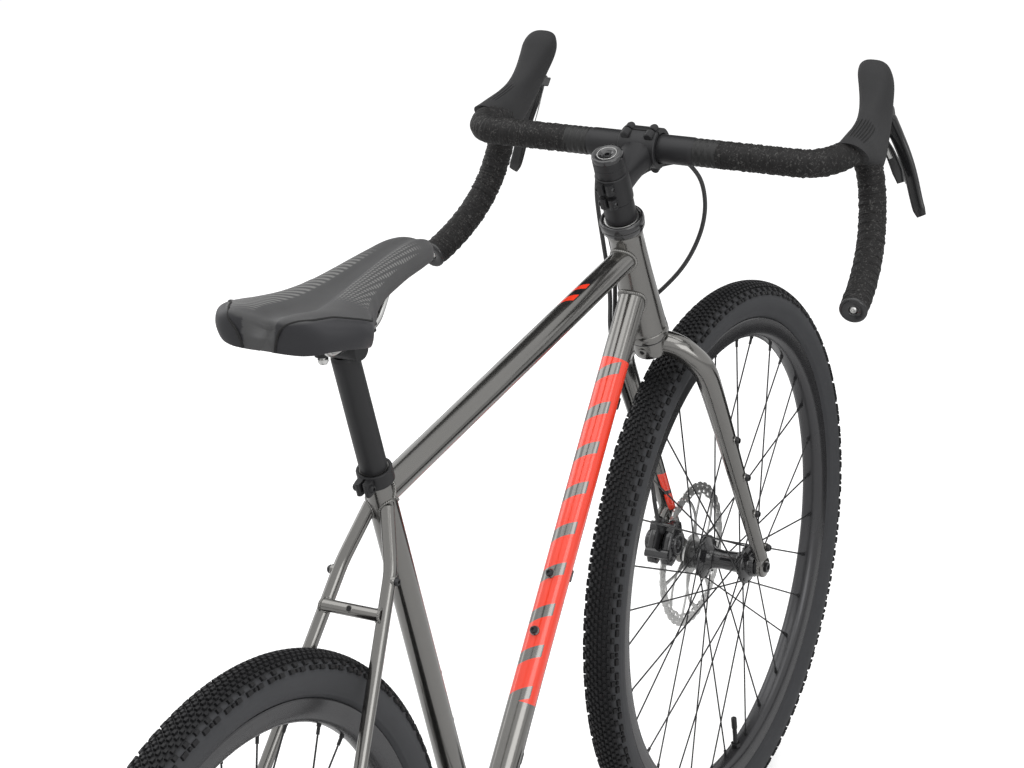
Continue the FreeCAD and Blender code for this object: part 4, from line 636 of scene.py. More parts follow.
# Each finish: the function that makes it, that function's own settings, and the shader's constants
FINISHES = {
    "frame_paint": (painted_metal, (), COATED),
    "down_tube_paint": (painted_metal, (down_tube_bands,), COATED),
    "top_tube_paint": (painted_metal, (top_tube_bands,), COATED),
    "blade_paint": (painted_metal, (blade_bands,), COATED),
    "satin_black": (dark_metal, ((0.016, 0.016, 0.017), 2200.0, 0.42),
                    {"Metallic": 0.25, "Specular_IOR_Level": 0.3}),
    "gloss_black": (dark_metal, ((0.012, 0.012, 0.013), 900.0, 0.16),
                    {"Coat_Weight": 0.4, "Coat_Roughness": 0.04}),
    "rim_black": (dark_metal, ((0.036, 0.036, 0.038), 1500.0, 0.26), {"Metallic": 0.5}),
    "bolt_black": (dark_metal, ((0.020, 0.020, 0.021), 2600.0, 0.28), {"Metallic": 0.6}),
    "bright_steel": (ground_steel, (), {"Metallic": 1.0}),
    "dark_steel": (two_tone, ((60.0, 4.0), (0.13, 0.13, 0.13), (0.30, 0.30, 0.29), 0.28, 0.16, 0.02),
                   {"Metallic": 1.0}),
    "hood_rubber": (moulded_rubber, (), SOFT),
    "lever_plastic": (two_tone, ((40.0, 3.0, (1, 1, 0.25)), (0.010, 0.010, 0.011), (0.022, 0.022, 0.023),
                                 0.12, 0.14, 0.012, (700.0, 1.0)), {}),
    "plain_plastic": (two_tone, ((1600.0, 2.0), (0.018, 0.018, 0.019), (0.032, 0.032, 0.033),
                                 0.44, 0.14, 0.03), SOFT),
    "tyre_rubber": (tyre_rubber, (), SOFT),
    "bar_tape": (cork_tape, (), SOFT),
    "finishing_tape": (two_tone, ((120.0, 3.0, (1, 3.5, 1)), (0.005, 0.005, 0.005), (0.030, 0.030, 0.030),
                                  0.34, 0.20, 1.2), {"Specular_IOR_Level": 0.3}),
    "saddle_cover": (coated_fabric, (), SOFT),
    "hose_jacket": (two_tone, ((90.0, 2.0), (0.014, 0.014, 0.015), (0.026, 0.026, 0.027),
                               0.30, 0.14, 0.01, (1500.0, 1.0)), {}),
    # Near-black fill put into holes and into the stem's slit: painted shade. The same colour is also the
    # saddle's dark seam piping.
    "hole_dark": (two_tone, ((300.0, 2.0), (0.004, 0.004, 0.004), (0.010, 0.010, 0.010), 0.8, 0.1), {}),
}


def finish(name):
    """The material of that name, made when it is first asked for."""
    found = bpy.data.materials.get("bike_" + name)
    if found is None:
        make, settings, constants = FINISHES[name]
        paint = Paint("bike_" + name, **constants)
        make(paint, *settings)
        found = paint.material
    return found


def dress(material, *nodes):
    """Gives carried-over CAD nodes a finish, in their objects' own slots."""
    for node in nodes:
        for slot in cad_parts[node].material_slots:
            slot.link = "OBJECT"
            slot.material = finish(material)


# Frame


def first_meeting(starts, way, point, axis, radius):
    """How far each line goes along its way before it meets a cylinder about an axis.

    The distance from the axis, squared, is a quadratic in that length; the lower root is the first meeting.
    """
    def flat(v):
        return v - np.sum(v * axis, -1, keepdims=True) * axis

    offset, run = flat(starts - point), flat(way)
    a, b = np.sum(run * run, -1), np.sum(offset * run, -1)
    c = np.sum(offset * offset, -1) - radius ** 2
    return (-b - np.sqrt(np.maximum(b * b - a * c, 0))) / a


def ring_about(centre, way, radius, sides):
    """A ring of points square to a direction."""
    across = unit(np.cross(way, LEFT if abs(way[1]) < 0.9 else AHEAD))
    over = np.cross(way, across)
    angle = around(sides)
    return centre + radius * (np.cos(angle)[:, None] * across + np.sin(angle)[:, None] * over)


def mitred(start, end, radius, cut_start=None, cut_end=None, sides=64):
    """A straight tube whose ends follow the round tubes that it is cut to, each (point, axis, radius)."""
    way = unit(end - start)
    length = np.linalg.norm(end - start)
    middle = start + way * length / 2
    centred = ring_about(middle, way, radius, sides)
    low = -first_meeting(centred, -way, *cut_start) if cut_start else np.full(sides, -length / 2)
    high = first_meeting(centred, way, *cut_end) if cut_end else np.full(sides, length / 2)
    share = np.linspace(0, 1, 12)[:, None]
    place = low * (1 - share) + high * share
    return grid(centred[None] + place[..., None] * way)


def bead(start, way, radius, point, axis, other, size=2.3, ripples=46, sides=12):
    """A weld bead: a rippled ring along the line where a tube meets another."""
    count = ripples * 6
    ring = ring_about(start, way, radius, count)
    line = ring + first_meeting(ring, np.broadcast_to(way, ring.shape), point, axis, other)[:, None] * way
    out = unit(ring - start)
    over = -np.broadcast_to(way, out.shape)
    ripple = size * (0.82 + 0.18 * np.abs(np.sin(np.arange(count) / count * math.pi * ripples)))
    angle = around(sides)
    spread = np.cos(angle)[None, :, None] * out[:, None] + np.sin(angle)[None, :, None] * over[:, None]
    return grid(line[:, None] + ripple[:, None, None] * spread, looped=True)


TOP_SEAT, TOP_HEAD = seat(497), steer(512.6)
TOP_WAY = unit(TOP_HEAD - TOP_SEAT)
STAY_TOP, STAY_BEND, STAY_FOOT = seat(489, -7, 9), rear(256, 27, 344), rear(17, 73.5, 26)
STAY_ROOT, STAY_NEAR = crank(-10, 20, 1), crank(-60, 30.5, 9)
BRIDGE, BRIDGE_WAY = rear(225, 0, 312), vec(-0.8, 0, 0.6)


def main_tubes():
    """Head, top, down and seat tubes with the crank shell: lathe forms and mitred tubes."""
    head = (steer(475), STEER_UP, 20.6)
    post = (CRANK_AXLE, SEAT_UP, 13.2)
    shell = (CRANK_AXLE, LEFT, 18.9)
    skin = [(17, 410), (23.3, 410), (23.6, 411), (23.6, 414), (23.0, 417), (21.6, 452), (20.3, 490),
            (19.6, 525), (19.5, 539), (19.8, 540), (19.8, 544.3), (19.5, 545.3), (17, 545.3)]
    post_tube = mitred(CRANK_AXLE, seat(1060), 14.3, shell)
    height = (post_tube[0] - CRANK_AXLE) @ SEAT_UP
    cut = post_tube[0] + (np.minimum(height, 530) - height)[:, None] * SEAT_UP
    for name, paint, form, node in (
            ("head_tube", "frame_paint", turned(skin, STEER_FOOT, STEER_UP, 96, True), "head_tube"),
            ("top_tube", "top_tube_paint", mitred(TOP_SEAT, TOP_HEAD, 14.1, post, head), "top_tube"),
            ("down_tube", "down_tube_paint", mitred(DOWN_LOW, DOWN_HIGH, 15.25, shell, head, 80),
             "down_tube"),
            ("seat_tube", "frame_paint", (cut, post_tube[1]), "seat_tube"),
            ("crank_shell", "frame_paint", washer(17, 20, -34, 34, 0.8, CRANK_AXLE, LEFT, 80), "bb_shell")):
        piece(name + "_skin", {paint: form}, "frame", [node])


def stays():
    """Chainstays and seatstays on their control points, tapering to the axle plates, with the bridge."""
    low, high = [], []
    run = np.linspace(0, 1, 60)
    for side in SIDES.values():
        route = [STAY_ROOT, STAY_NEAR, crank(-90, 36.3, 14), crank(-150, 48, 29), rear(105, 67, -17),
                 rear(40, 75, -3)]
        path = bowed(to_side(route, side), 60)
        low.append(tube(path, 8 - 0.8 * run, 8 + 0.6 * np.sin(run * math.pi), sides=36))
        bend = [STAY_TOP, STAY_BEND + (STAY_TOP - STAY_BEND) * 0.3, STAY_BEND,
                STAY_BEND + unit(STAY_FOOT - STAY_BEND) * 18, STAY_FOOT]
        high.append(tube(bowed(to_side(bend, side), 60), 6.9 - 0.7 * run, ref=LEFT, sides=36))
    piece("chainstay_skin", {"frame_paint": joined(*low)}, "frame", ["chainstays"])
    bridge = tube(np.linspace(BRIDGE - LEFT * 31, BRIDGE + LEFT * 31, 8), 6.2, sides=36)
    holes = [washer(2.5, 3.5, 4.5, 6.4, 0.3, BRIDGE, way, 24) for way in (BRIDGE_WAY, -BRIDGE_WAY)]
    # A near-black rod through the bridge's hole: painted shade inside the hole.
    dark = rods([BRIDGE - BRIDGE_WAY * 6.35], [BRIDGE + BRIDGE_WAY * 6.35], 2.6, 20)
    beads = []
    for side in SIDES.values():
        foot = BRIDGE + LEFT * (side * 12)
        stay_way = unit(to_side(STAY_FOOT - STAY_BEND, side))
        beads.append(bead(foot, LEFT * side, 6.2, to_side(STAY_BEND, side), stay_way, 6.6, 1.5, 22, 10))
    parts = {"frame_paint": joined(*high, bridge, *holes, *beads), "hole_dark": dark}
    piece("seatstay_skin", parts, "frame", ["seatstays"])


def weld_beads():
    """Rippled beads where the tubes meet."""
    head_axis = steer(475)
    beads = [bead(TOP_HEAD - TOP_WAY * 90, TOP_WAY, 14.3, head_axis, STEER_UP, 20.1),
             bead(TOP_SEAT + TOP_WAY * 90, -TOP_WAY, 14.3, CRANK_AXLE, SEAT_UP, 14.3),
             bead(DOWN_HIGH - DOWN_WAY * 110, DOWN_WAY, 15.4, head_axis, STEER_UP, 21.3),
             bead(DOWN_LOW + DOWN_WAY * 100, -DOWN_WAY, 15.4, CRANK_AXLE, LEFT, 20),
             bead(seat(100), -SEAT_UP, 14.4, CRANK_AXLE, LEFT, 20)]
    for side in SIDES.values():
        for root, near, radius, *how in ((STAY_ROOT, STAY_NEAR, 8.1, CRANK_AXLE, LEFT, 20, 1.9, 26),
                                         (STAY_TOP, STAY_BEND, 7.0, CRANK_AXLE, SEAT_UP, 14.3, 1.6, 24)):
            start = to_side(near, side)
            beads.append(bead(start, unit(to_side(root, side) - start), radius, *how))
    piece("weld_beads", {"frame_paint": joined(*beads)}, "frame")


def frame_bolts():
    """Bolts on their bosses, the guides under the down tube and the collar round the seat tube."""
    bosses, heads = [], []
    places = [(down_tube(along, -15.1), -DOWN_UNDER) for along in (249, 313)]
    places += [(seat(up, 14.2), SEAT_AHEAD) for up in (190, 254)]
    places += [(to_side(STAY_BEND + vec(-6, 6, -7), side), LEFT * side) for side in SIDES.values()]
    for place, axis in places:
        bosses.append(turned([(5.2, -2), (5.4, 1.2), (4.4, 2.6)], place, axis, 28))
        heads.append(bolt(place + axis * 2.4, axis, 4.4, 3.6))
    outline = [(-7.5, -7), (-8, 4), (-4.5, 8), (0, 6.2), (4.5, 8), (8, 4), (7.5, -7), (-7.5, -7.2)]
    for along in (118, 322, 521):
        heads.append(plate(bowed(outline, 40)[:-1], 13, down_tube(along, 20), LEFT, DOWN_UNDER, 0.7))
    piece("frame_bolts", {"bolt_black": joined(*heads), "frame_paint": joined(*bosses)}, "frame",
          ["frame_fittings"])
    collar = [washer(14.35, 17.6, 514, 530, 0.9, CRANK_AXLE, SEAT_UP, 64)]
    for side in SIDES.values():
        middle = [seat(up, -20.5, 4.6 * side) for up in (515, 529)]
        collar.append(tube(np.linspace(*middle, 6), 6.8, 3.3, ref=LEFT, power=3.2, sides=28))
        collar.append(bolt(seat(522, -22, 7.4 * side), LEFT * side, 4.2, 3.6))
    piece("seat_collar_skin", {"satin_black": joined(*collar)}, "frame", ["seat_collar"])


# Seat

PAD_ROWS = [
    # ahead of the post's top, half width, heights of foot, skirt, edge and crown, and the channel's depth
    (-122.0, 7, 38.6, 38.6, 50.0, 62.0, 0.4), (-121.6, 22, 38.4, 38.4, 50.5, 64.0, 1),
    (-119.8, 39, 38.6, 38.4, 51.5, 68.0, 2), (-115.0, 52, 40.5, 39.0, 52.5, 71.0, 3.5),
    (-106.0, 62, 40.5, 39.6, 53.0, 71.0, 5), (-91.7, 71.5, 40.0, 38.0, 52.5, 68.8, 7),
    (-78.7, 76.5, 39.0, 35.0, 51.0, 66.2, 8), (-64.7, 75, 37.5, 30.6, 49.0, 63.2, 8),
    (-52.7, 69, 36.5, 26.4, 47.5, 61.2, 7), (-32.7, 55, 36.0, 21.6, 46.0, 60.2, 7),
    (-12.7, 44.5, 35.0, 20.0, 45.7, 60.7, 7), (1.3, 40, 35.0, 27.0, 46.7, 61.2, 7),
    (11.3, 37, 35.7, 34.2, 46.7, 61.5, 6.5),
    (35.3, 32, 37.7, 37.7, 48.7, 62.7, 6), (60.3, 28.5, 38.7, 38.7, 49.7, 63.7, 4.5),
    (85.3, 25.5, 39.2, 39.2, 49.7, 64.2, 3.5), (110.3, 23.5, 38.7, 38.7, 48.7, 63.7, 2.5),
    (130.3, 20.5, 37.7, 37.7, 46.7, 60.8, 1.5), (143.3, 17, 36.2, 36.2, 44.2, 56.6, 0.8),
    (151.3, 13, 35.4, 35.4, 42.2, 52.2, 0.4), (156.5, 8.5, 35.6, 35.6, 40.6, 48.0, 0.2),
    (159, 4, 36.7, 36.7, 39.7, 43.8, 0.1),
]
# A half section: how far out in half widths, then the shares of the foot, the skirt, the edge, the crown
# and the channel in its height
PAD_SECTION = [(0, 1, 0, 0, 0, 0), (0.5, 1, 0, 0, 0, 0), (0.80, 0.35, 0.65, 0, 0, 0), (0.93, 0, 1, 0, 0, 0),
               (0.99, 0, 0.55, 0.45, 0, 0), (1, 0, 0.05, 0.95, 0, 0), (0.955, 0, 0, 0.58, 0.42, 0),
               (0.83, 0, 0, 0.24, 0.76, 0), (0.66, 0, 0, 0.05, 0.95, 0), (0.48, 0, 0, 0, 1, 0.02),
               (0.31, 0, 0, 0, 1, 0.25), (0.17, 0, 0, 0, 1, 0.85), (0, 0, 0, 0, 1, 1)]


def pad_grid(rows=150, columns=112):
    """The pad's skin: rows run from its tail to its nose, columns round a section.

    Each section's points are weighted sums of the heights at that row; the tail dips and is drawn forward.
    """
    table = through(PAD_ROWS, rows)
    half = np.asarray(PAD_SECTION, float)
    other = half[-2:0:-1] * np.array([-1, 1, 1, 1, 1, 1])
    loop = np.vstack([half, other])
    wrapped = through(np.vstack([loop[-3:], loop, loop[:3]]), columns * 8)
    place = np.linspace(-3, len(loop) + 2, columns * 8)
    at = np.arange(columns) / columns * len(loop)
    section = np.stack([np.interp(at, place, wrapped[:, k]) for k in range(6)], -1)
    ahead, width, foot, skirt, edge, crown, channel = (table[:, k, None] for k in range(7))
    left = width * section[:, 0]
    up = foot * section[:, 1] + skirt * section[:, 2] + edge * section[:, 3] + crown * section[:, 4]
    up = up - channel * section[:, 5]
    tail = np.clip((-78 - ahead) / 42, 0, 1)
    dip = np.exp(-((left - 4) / 15) ** 2) * tail ** 2 * section[:, 4]
    points = np.stack([ahead + 9 * dip, left, up - 7 * dip], -1)
    return SADDLE + points, section[:, 0], table[:, 0]


def saddle_pad():
    """The padded cover: traits place its ribs, dots and tail panels, and seams follow the panels' edges."""
    points, across, ahead = pad_grid()
    cover = grid(points)
    rows, columns = points.shape[:2]
    wide = np.broadcast_to(across, (rows, columns))
    along = np.broadcast_to(ahead[:, None], (rows, columns))
    height = points[..., 2] - SADDLE[2]
    left = points[..., 1]
    table = through(PAD_ROWS, rows)
    lift = np.interp(ahead, [-112, -92, -70, -45], [8.5, 7.5, 3.0, -4.0])
    edge_line = (table[:, 4] * 0.58 + table[:, 5] * 0.42 + lift)[:, None]

    def fade(value, reach):
        return np.clip(value / reach, 0, 1)

    panel = fade(edge_line - height, 1.5) * (along < -20) * ((left > 24) | (left < -9.5))
    dots = fade(along + 40, 14) * fade(120 - along, 20) * fade(height - edge_line, 3)
    dots = dots * (wide < -0.36) * (wide > -0.95)
    ribs = fade(along + 112, 14) * fade(92 - along, 40) * (wide > 0.30) * (wide < 0.80)

    drops = {1: [(-118.6, 40, 64), (-121.6, 31, 57), (-122.4, 26.5, 50), (-122.2, 24, 38.8)],
             -1: [(-117.6, -31, 69), (-121.0, -18, 63.5), (-122.6, -12.5, 53), (-122.3, -9.5, 38.8)]}
    seams = []
    at = np.interp(np.linspace(-42, -113, 60), ahead, np.arange(rows))
    wanted = np.interp(at, np.arange(rows), edge_line[:, 0])
    for side in SIDES.values():
        climb = np.linspace(4.6, 9, 40) * columns / 24
        climb = climb if side > 0 else columns - climb
        heights = on_grid(points, at[:, None], climb[None, :])[..., 2] - SADDLE[2]
        column = np.array([np.interp(w, h, climb) for w, h in zip(wanted, heights)])
        line = np.vstack([on_grid(points, at, column)[::3], SADDLE + np.array(drops[side], float)])
        seams.append(tube(bowed(line, 120), 1.2, ref=(0.2, 0.1, 0.97), sides=8))
    bare = np.zeros(2 + sum(len(seam[0]) for seam in seams))
    traits = {name: np.r_[np.asarray(values, float).ravel(), bare]
              for name, values in (("panel", panel), ("dots", dots), ("ribs", ribs))}
    pad = piece("saddle_cover", {"saddle_cover": cover, "hole_dark": joined(*seams)}, "seat",
                ["saddle_pad"], sharp=60, traits=traits)


def saddle_base():
    """The shell under the pad, the bent rails, the clamp's bolts and the post."""
    table = through(PAD_ROWS[3:-3], 60)
    path = np.stack([SADDLE[0] + table[:, 0], np.zeros(60), SADDLE[2] + table[:, 2] - 0.6], -1)
    shell = tube(path, table[:, 1] * 0.74, 1.8, power=3.0, sides=40)
    piece("saddle_base", {"plain_plastic": shell}, "seat", ["saddle_shell"])
    route = [(-78, 31, 41), (-68, 27, 26), (-56, 22, 14), (-36, 22, 14), (4, 22, 14), (24, 21.5, 14),
             (42, 19, 22), (66, 14, 40)]
    rails = [tube(bowed(SADDLE + to_side(route, side), 70), 3.5, ref=LEFT, sides=20)
             for side in SIDES.values()]
    piece("saddle_rail_pair", {"bright_steel": joined(*rails)}, "seat", ["saddle_rails"])
    post = turned_ring([(11.1, 420), (13.6, 420), (13.6, 648), (13.6, 660), (11, 664), (11.1, 660)], 0.6,
                       CRANK_AXLE, SEAT_UP, 64)
    head = tube(np.linspace(SADDLE - LEFT * 21, SADDLE + LEFT * 21, 24),
                14 - 2 * np.abs(np.linspace(-1, 1, 24)) ** 6, 11.5, power=2.4)

    def line(start, end, count):
        return np.linspace(SADDLE + vec(*start), SADDLE + vec(*end), count)

    cradle = tube(line((-41, 0, 11), (21, 0, 11), 20), 25, 3.2, power=4)
    piece("seat_post", {"satin_black": joined(post, head, cradle)}, "seat", ["seatpost"])
    black = [tube(line((-18, 0, 18.6), (18, 0, 18.6), 20), 28, 3.2, power=4)]
    studs = []
    for step, low in ((-33, -1), (24, -9)):
        studs.append(rods([SADDLE + vec(step, 0, low - 4)], [SADDLE + vec(step, 0, 26)], 2.8, 16))
        black.append(tube(line((step, 0, low + 3), (step, 0, 22), 6), 7.5, ref=LEFT, sides=24))
        studs.append(bolt(SADDLE + vec(step, 0, low), -UP, 5, 5, 2.4))
    piece("saddle_clamp_top", {"satin_black": joined(*black), "bright_steel": joined(*studs)}, "seat",
          ["saddle_clamp"])


# Steering


def headset_stack():
    """Cups, cover, spacers, cap and bolts on the steering axis: lathe forms with eased edges."""
    def ring(low, high, radius, bore=14.4, ease=0.7):
        return washer(bore, radius, low, high, ease, STEER_FOOT, STEER_UP, 72)

    def form(profile, ease, sides=80):
        return turned_ring(profile, ease, STEER_FOOT, STEER_UP, sides)

    upper = form([(17, 545.4), (19.6, 545.4), (23.8, 549.6), (24.5, 554.6), (17, 554.6)], 0.8)
    lower = form([(17, 409.9), (23.4, 409.9), (24.2, 408), (24.2, 401), (22, 399.2), (17, 399.2)], 0.8)
    seal = ring(397.9, 399.1, 22.5, 17, 0.3)
    piece("headset_cups", {"gloss_black": joined(upper, seal), "frame_paint": lower}, "frame",
          ["headset"])
    cover = form([(14.4, 555.2), (24.2, 555.2), (24.9, 558), (24.6, 561.5), (23.2, 563.6), (21.2, 563.2),
                  (19.4, 561), (14.4, 561)], 0.5)
    bright = ring(561.1, 562.5, 19.3, 17.0, 0.2)
    stack = [ring(562.8, 587.6, 17.4), ring(623.4, 633.6, 17.4, ease=0.3), ring(633.8, 642.8, 17.4, ease=0.3)]
    piece("spacer_stack", {"satin_black": joined(*stack), "gloss_black": cover, "bright_steel": bright},
          "steering", ["headset_spacers"])
    cap = form([(3.6, 643), (17.4, 643), (17.4, 647), (16.4, 648.6), (13.2, 648.6), (12.4, 648.2), (7, 648.2),
                (5.6, 646.6), (3.6, 645.6)], 0.4, 72)
    arc = ring(648.0, 648.5, 11.0, 10.2, 0.1)
    screw = bolt(steer(643.5), STEER_UP, 5.2, 3.4, 2.6)
    piece("steerer_cap", {"gloss_black": cap, "bright_steel": arc, "bolt_black": screw}, "steering",
          ["top_cap"])


def crown_and_blades():
    """The steerer with its crown, and blades that curve out of it and taper to the axle plates."""
    post = washer(12.3, 14.25, 377, 641, 0.3, STEER_FOOT, STEER_UP, 72)
    crown = turned_ring([(12.3, 375.5), (18.2, 375.5), (20.0, 381), (20.2, 391), (20.0, 397.2), (16.2, 397.6),
                         (16.2, 402.6), (12.3, 402.6)], 0.8, STEER_FOOT, STEER_UP, 72)
    hole = turned_ring([(2.7, 18.6), (5.4, 18.6), (5.0, 21.4), (2.7, 21.4)], 0.3, steer(388), -STEER_AHEAD,
                       28)
    # A near-black rod set into the crown's hole: painted shade inside the hole.
    dark = rods([steer(388, -20.6)], [steer(388, -19)], 3.0, 20)
    piece("fork_crown", {"frame_paint": joined(post, crown, hole), "hole_dark": dark}, "steering",
          ["fork_steerer"])

    route = [steer(383.5, 5, 4), steer(382.5, 9, 24), steer(362, 12.5, 43), steer(345, 16, 51.8),
             steer(320, 19.8, 53.2), steer(250, 27.2, 53.5), steer(140, 37.5, 54.0), steer(60, 45.2, 54.3),
             steer(18, 49.4, 54.5)]
    count = 90
    run, stations = np.linspace(0, 1, count), [0, 0.14, 0.3, 0.6, 1]
    wide = np.interp(run, stations, [14.5, 13.8, 12.0, 10.2, 8.0])
    deep = np.interp(run, stations, [15.0, 14.5, 13.2, 11.2, 8.6])
    outline = bowed([(-9, 30), (-10, 6), (-8, -6), (8, -6), (10, 8), (8, 30), (-9, 30.2)], 48)[:-1]
    painted, plain, screws = [], [], []
    for side in SIDES.values():
        out = LEFT * side
        painted.append(tube(bowed(to_side(route, side), count), wide, deep, ref=(0.2, -side, 0), sides=48))
        plain.append(turned_ring([(6.2, 50), (12.4, 50), (12.8, 52), (12.8, 56), (11.6, 58), (6.2, 58)], 0.5,
                                 FRONT_AXLE, out, 48))
        plain.append(plate(outline, 7.4, steer(4, 51, 54.2 * side), STEER_AHEAD, STEER_UP, 0.8, (0, 12)))
        for along in (152, 216, 280):
            place = to_side(on_blade(along, 0, np.interp(along, [0, 351], [12.0, 8.2])), side)
            plain.append(turned([(5.2, -3), (5.2, 1.4), (4.4, 2.4)], place, out, 24))
            screws.append(bolt(place + out * 2.2, out, 4.3, 4.6))
        eyelet = to_side(steer(30, 55, 63), side)
        screws.append(bolt(eyelet, out, 4.4, 4.4))
        plain.append(turned([(5.4, -6), (5.4, 0)], eyelet, out, 24))
    plain += [rods([on_blade(along, 4)], [on_blade(along, 24)], 6.4, 28) for along in (290, 320)]
    piece("fork_blade_pair", {"blade_paint": joined(*painted), "frame_paint": joined(*plain)}, "steering",
          ["fork_blades"])
    return screws


def stem_and_bolts(screws):
    """The stem: a split clamp, a rounded neck and a two-piece bar clamp, with all the steering's bolts."""
    clamp = turned_ring([(14.4, 588.2), (18.2, 588.2), (18.6, 590), (18.6, 621), (18.2, 622.8),
                         (14.4, 622.8)], 0.9, STEER_FOOT, STEER_UP, 72)
    # A near-black plate in the clamp's slit: painted shade in the gap.
    slit = plate([(-2, -16), (2, -16), (2, 16), (-2, 16)], 1.8, steer(605.5, -17), STEER_AHEAD, STEER_UP, 0.3)
    cheeks = []
    for side in SIDES.values():
        for up in (596, 615):
            line = np.linspace(steer(up - 6.4, -18, 5.4 * side), steer(up + 6.4, -18, 5.4 * side), 8)
            cheeks.append(tube(line, 5.6, 4.4, ref=LEFT, power=2.8, sides=36))
            screws.append(bolt(steer(up, -20, 8.6 * side), LEFT * side, 3.6, 2.2))
    neck = np.linspace(steer(605.2, 8), steer(STEM_HEIGHT, 64), 24)
    run = np.linspace(0, 1, 24)
    body = tube(neck, 16.0 + 4.5 * run ** 3, 16.6 - 1.5 * np.sin(run * math.pi), ref=STEER_UP, power=2.7,
                sides=48)
    angle = np.linspace(0, math.pi, 40)[:, None]
    outline = eased([(16.0, -22), (22.0, -22), (22.0, 22), (16.0, 22)], 1.0, True)
    halves = []
    for turn, gap in ((angle + math.pi, -1.3), (angle, 1.3)):
        ring = np.sin(turn) * STEER_AHEAD + np.cos(turn) * STEER_UP
        middle = BAR + STEER_AHEAD * gap * 0.5
        rows = middle + outline[None, :, 0, None] * ring[:, None] + outline[None, :, 1, None] * LEFT
        halves.append([grid(rows)])
    back, front = halves
    for up in (-21, 21):
        for left in (-14, 14):
            place = steer(STEM_HEIGHT + up, STEM_REACH, left)
            for half, low, high in ((back, -12, -1), (front, 1, 8)):
                lug = eased([(0.5, low), (5.2, low), (5.2, high), (0.5, high)], 1.0)
                half.append(turned(lug, place, STEER_AHEAD, 32))
            screws.append(bolt(place + STEER_AHEAD * 7.6, STEER_AHEAD, 4.3, 3.4))
    piece("stem_body", {"satin_black": joined(clamp, *cheeks, body, *back), "hole_dark": slit}, "steering",
          ["stem"])
    piece("stem_front_plate", {"satin_black": joined(*front)}, "steering", ["stem_faceplate"])
    piece("steering_bolt_heads", {"bolt_black": joined(*screws)}, "steering",
          ["steering_bolts"])


BAR_ROUTE = [(0, 0, 0), (0, 150, 0), (0, 214, 0), (109, 222, -3), (61, 243.5, -123.5), (-31, 257, -145)]
BAR_REF = (-0.4, 0.5, 0.77)
TAPE_START, TAPE_OVERLAP, SLEEVE_END = 64, 24, 92


def bar_path(side, count):
    """One half of the bar, from its middle to its end, at even steps."""
    return bowed(BAR + to_side(BAR_ROUTE, side), count)


def reference(side):
    """A direction that no stretch of the bar on that side runs along."""
    return to_side(BAR_REF, side)


def handlebar():
    """The bent bar: thick at the clamp, then thinner under the tape."""
    half = []
    for side in SIDES.values():
        path = bar_path(side, 240)
        radius = np.interp(np.abs(path[:, 1]), [0, 60, 74, 300], [15.9, 15.9, 12.2, 12.0])
        half.append(tube(path, radius, ref=reference(side), sides=40))
    piece("bar_tube", {"satin_black": joined(*half)}, "steering", ["handlebar"])


def wound_tape(name, side):
    """Tape wound along the bar: its radius climbs over every turn and steps down at the next one's edge,
    with slow creases across the turns. A smooth sleeve binds its inner end."""
    looks = bpy.context.scene.bike_sizes
    whole = bar_path(side, 900)
    reach = np.linspace(0, 1, 900) * np.linalg.norm(np.diff(whole, axis=0), axis=1).sum()
    sides = 56
    angle = np.arange(sides) / sides
    how = {"ref": reference(side), "sides": sides}

    wound = reach > TAPE_START + TAPE_OVERLAP
    place = reach[wound, None]
    turn = place * MM / looks.tape_pitch + angle * side
    climb = turn - np.floor(turn)
    step = np.clip((1 - climb) / 0.10, 0, 1)
    rng = np.random.default_rng(11 if side > 0 else 12)
    waves = rng.uniform(-1, 1, (9, 4))
    crease = 0
    for k, w in enumerate(waves):
        sway = np.sin(angle * TAU * (1 + k % 4) + w[1] * 3) * (1.5 + w[2])
        crease = crease + np.sin(place * (0.25 + 0.22 * k) * (1 + 0.1 * w[0]) + sway + w[3] * 6)
    end = np.clip((place[-1] - place) / 6, 0.0, 1)
    radius = 14.75 + 0.95 * climb * step + 0.85 * (crease / len(waves)) - 1.2 * (1 - end)
    shell = grid(rings(whole[wound], radius, **how))

    bound = (reach > TAPE_START) & (reach < SLEEVE_END)
    place = reach[bound, None]
    ripple = 15.35 + 0.35 * np.sin(place * 0.9) * np.cos(angle * TAU * 3)
    edge = np.clip(np.minimum(place - TAPE_START, SLEEVE_END - place) / 0.8, 0.0, 1)
    sleeve = grid(rings(whole[bound], ripple - 0.5 * (1 - edge), **how))
    piece("tape_" + name, {"bar_tape": shell, "finishing_tape": sleeve}, "steering",
          ["bar_tape_" + name], sharp=50)


def bar_plugs():
    """Flanged plugs in the bar's ends, each with a pale expander bolt."""
    plugs, bolts = [], []
    for side in SIDES.values():
        path = bar_path(side, 240)
        end, way = path[-1], unit(path[-1] - path[-3])
        profile = [(4.4, 1.2), (5.4, 3.4), (12.6, 4.6), (15.2, 3.2), (15.6, 0.2), (11.0, -1.0), (4.4, -1.0)]
        plugs.append(turned_ring(profile, 0.7, end, way, 56))
        bolts.append(bolt(end + way * 0.6, way, 4.3, 2.4, 2.2))
    piece("bar_plugs", {"lever_plastic": joined(*plugs), "bright_steel": joined(*bolts)}, "steering",
          ["bar_end_plugs"])


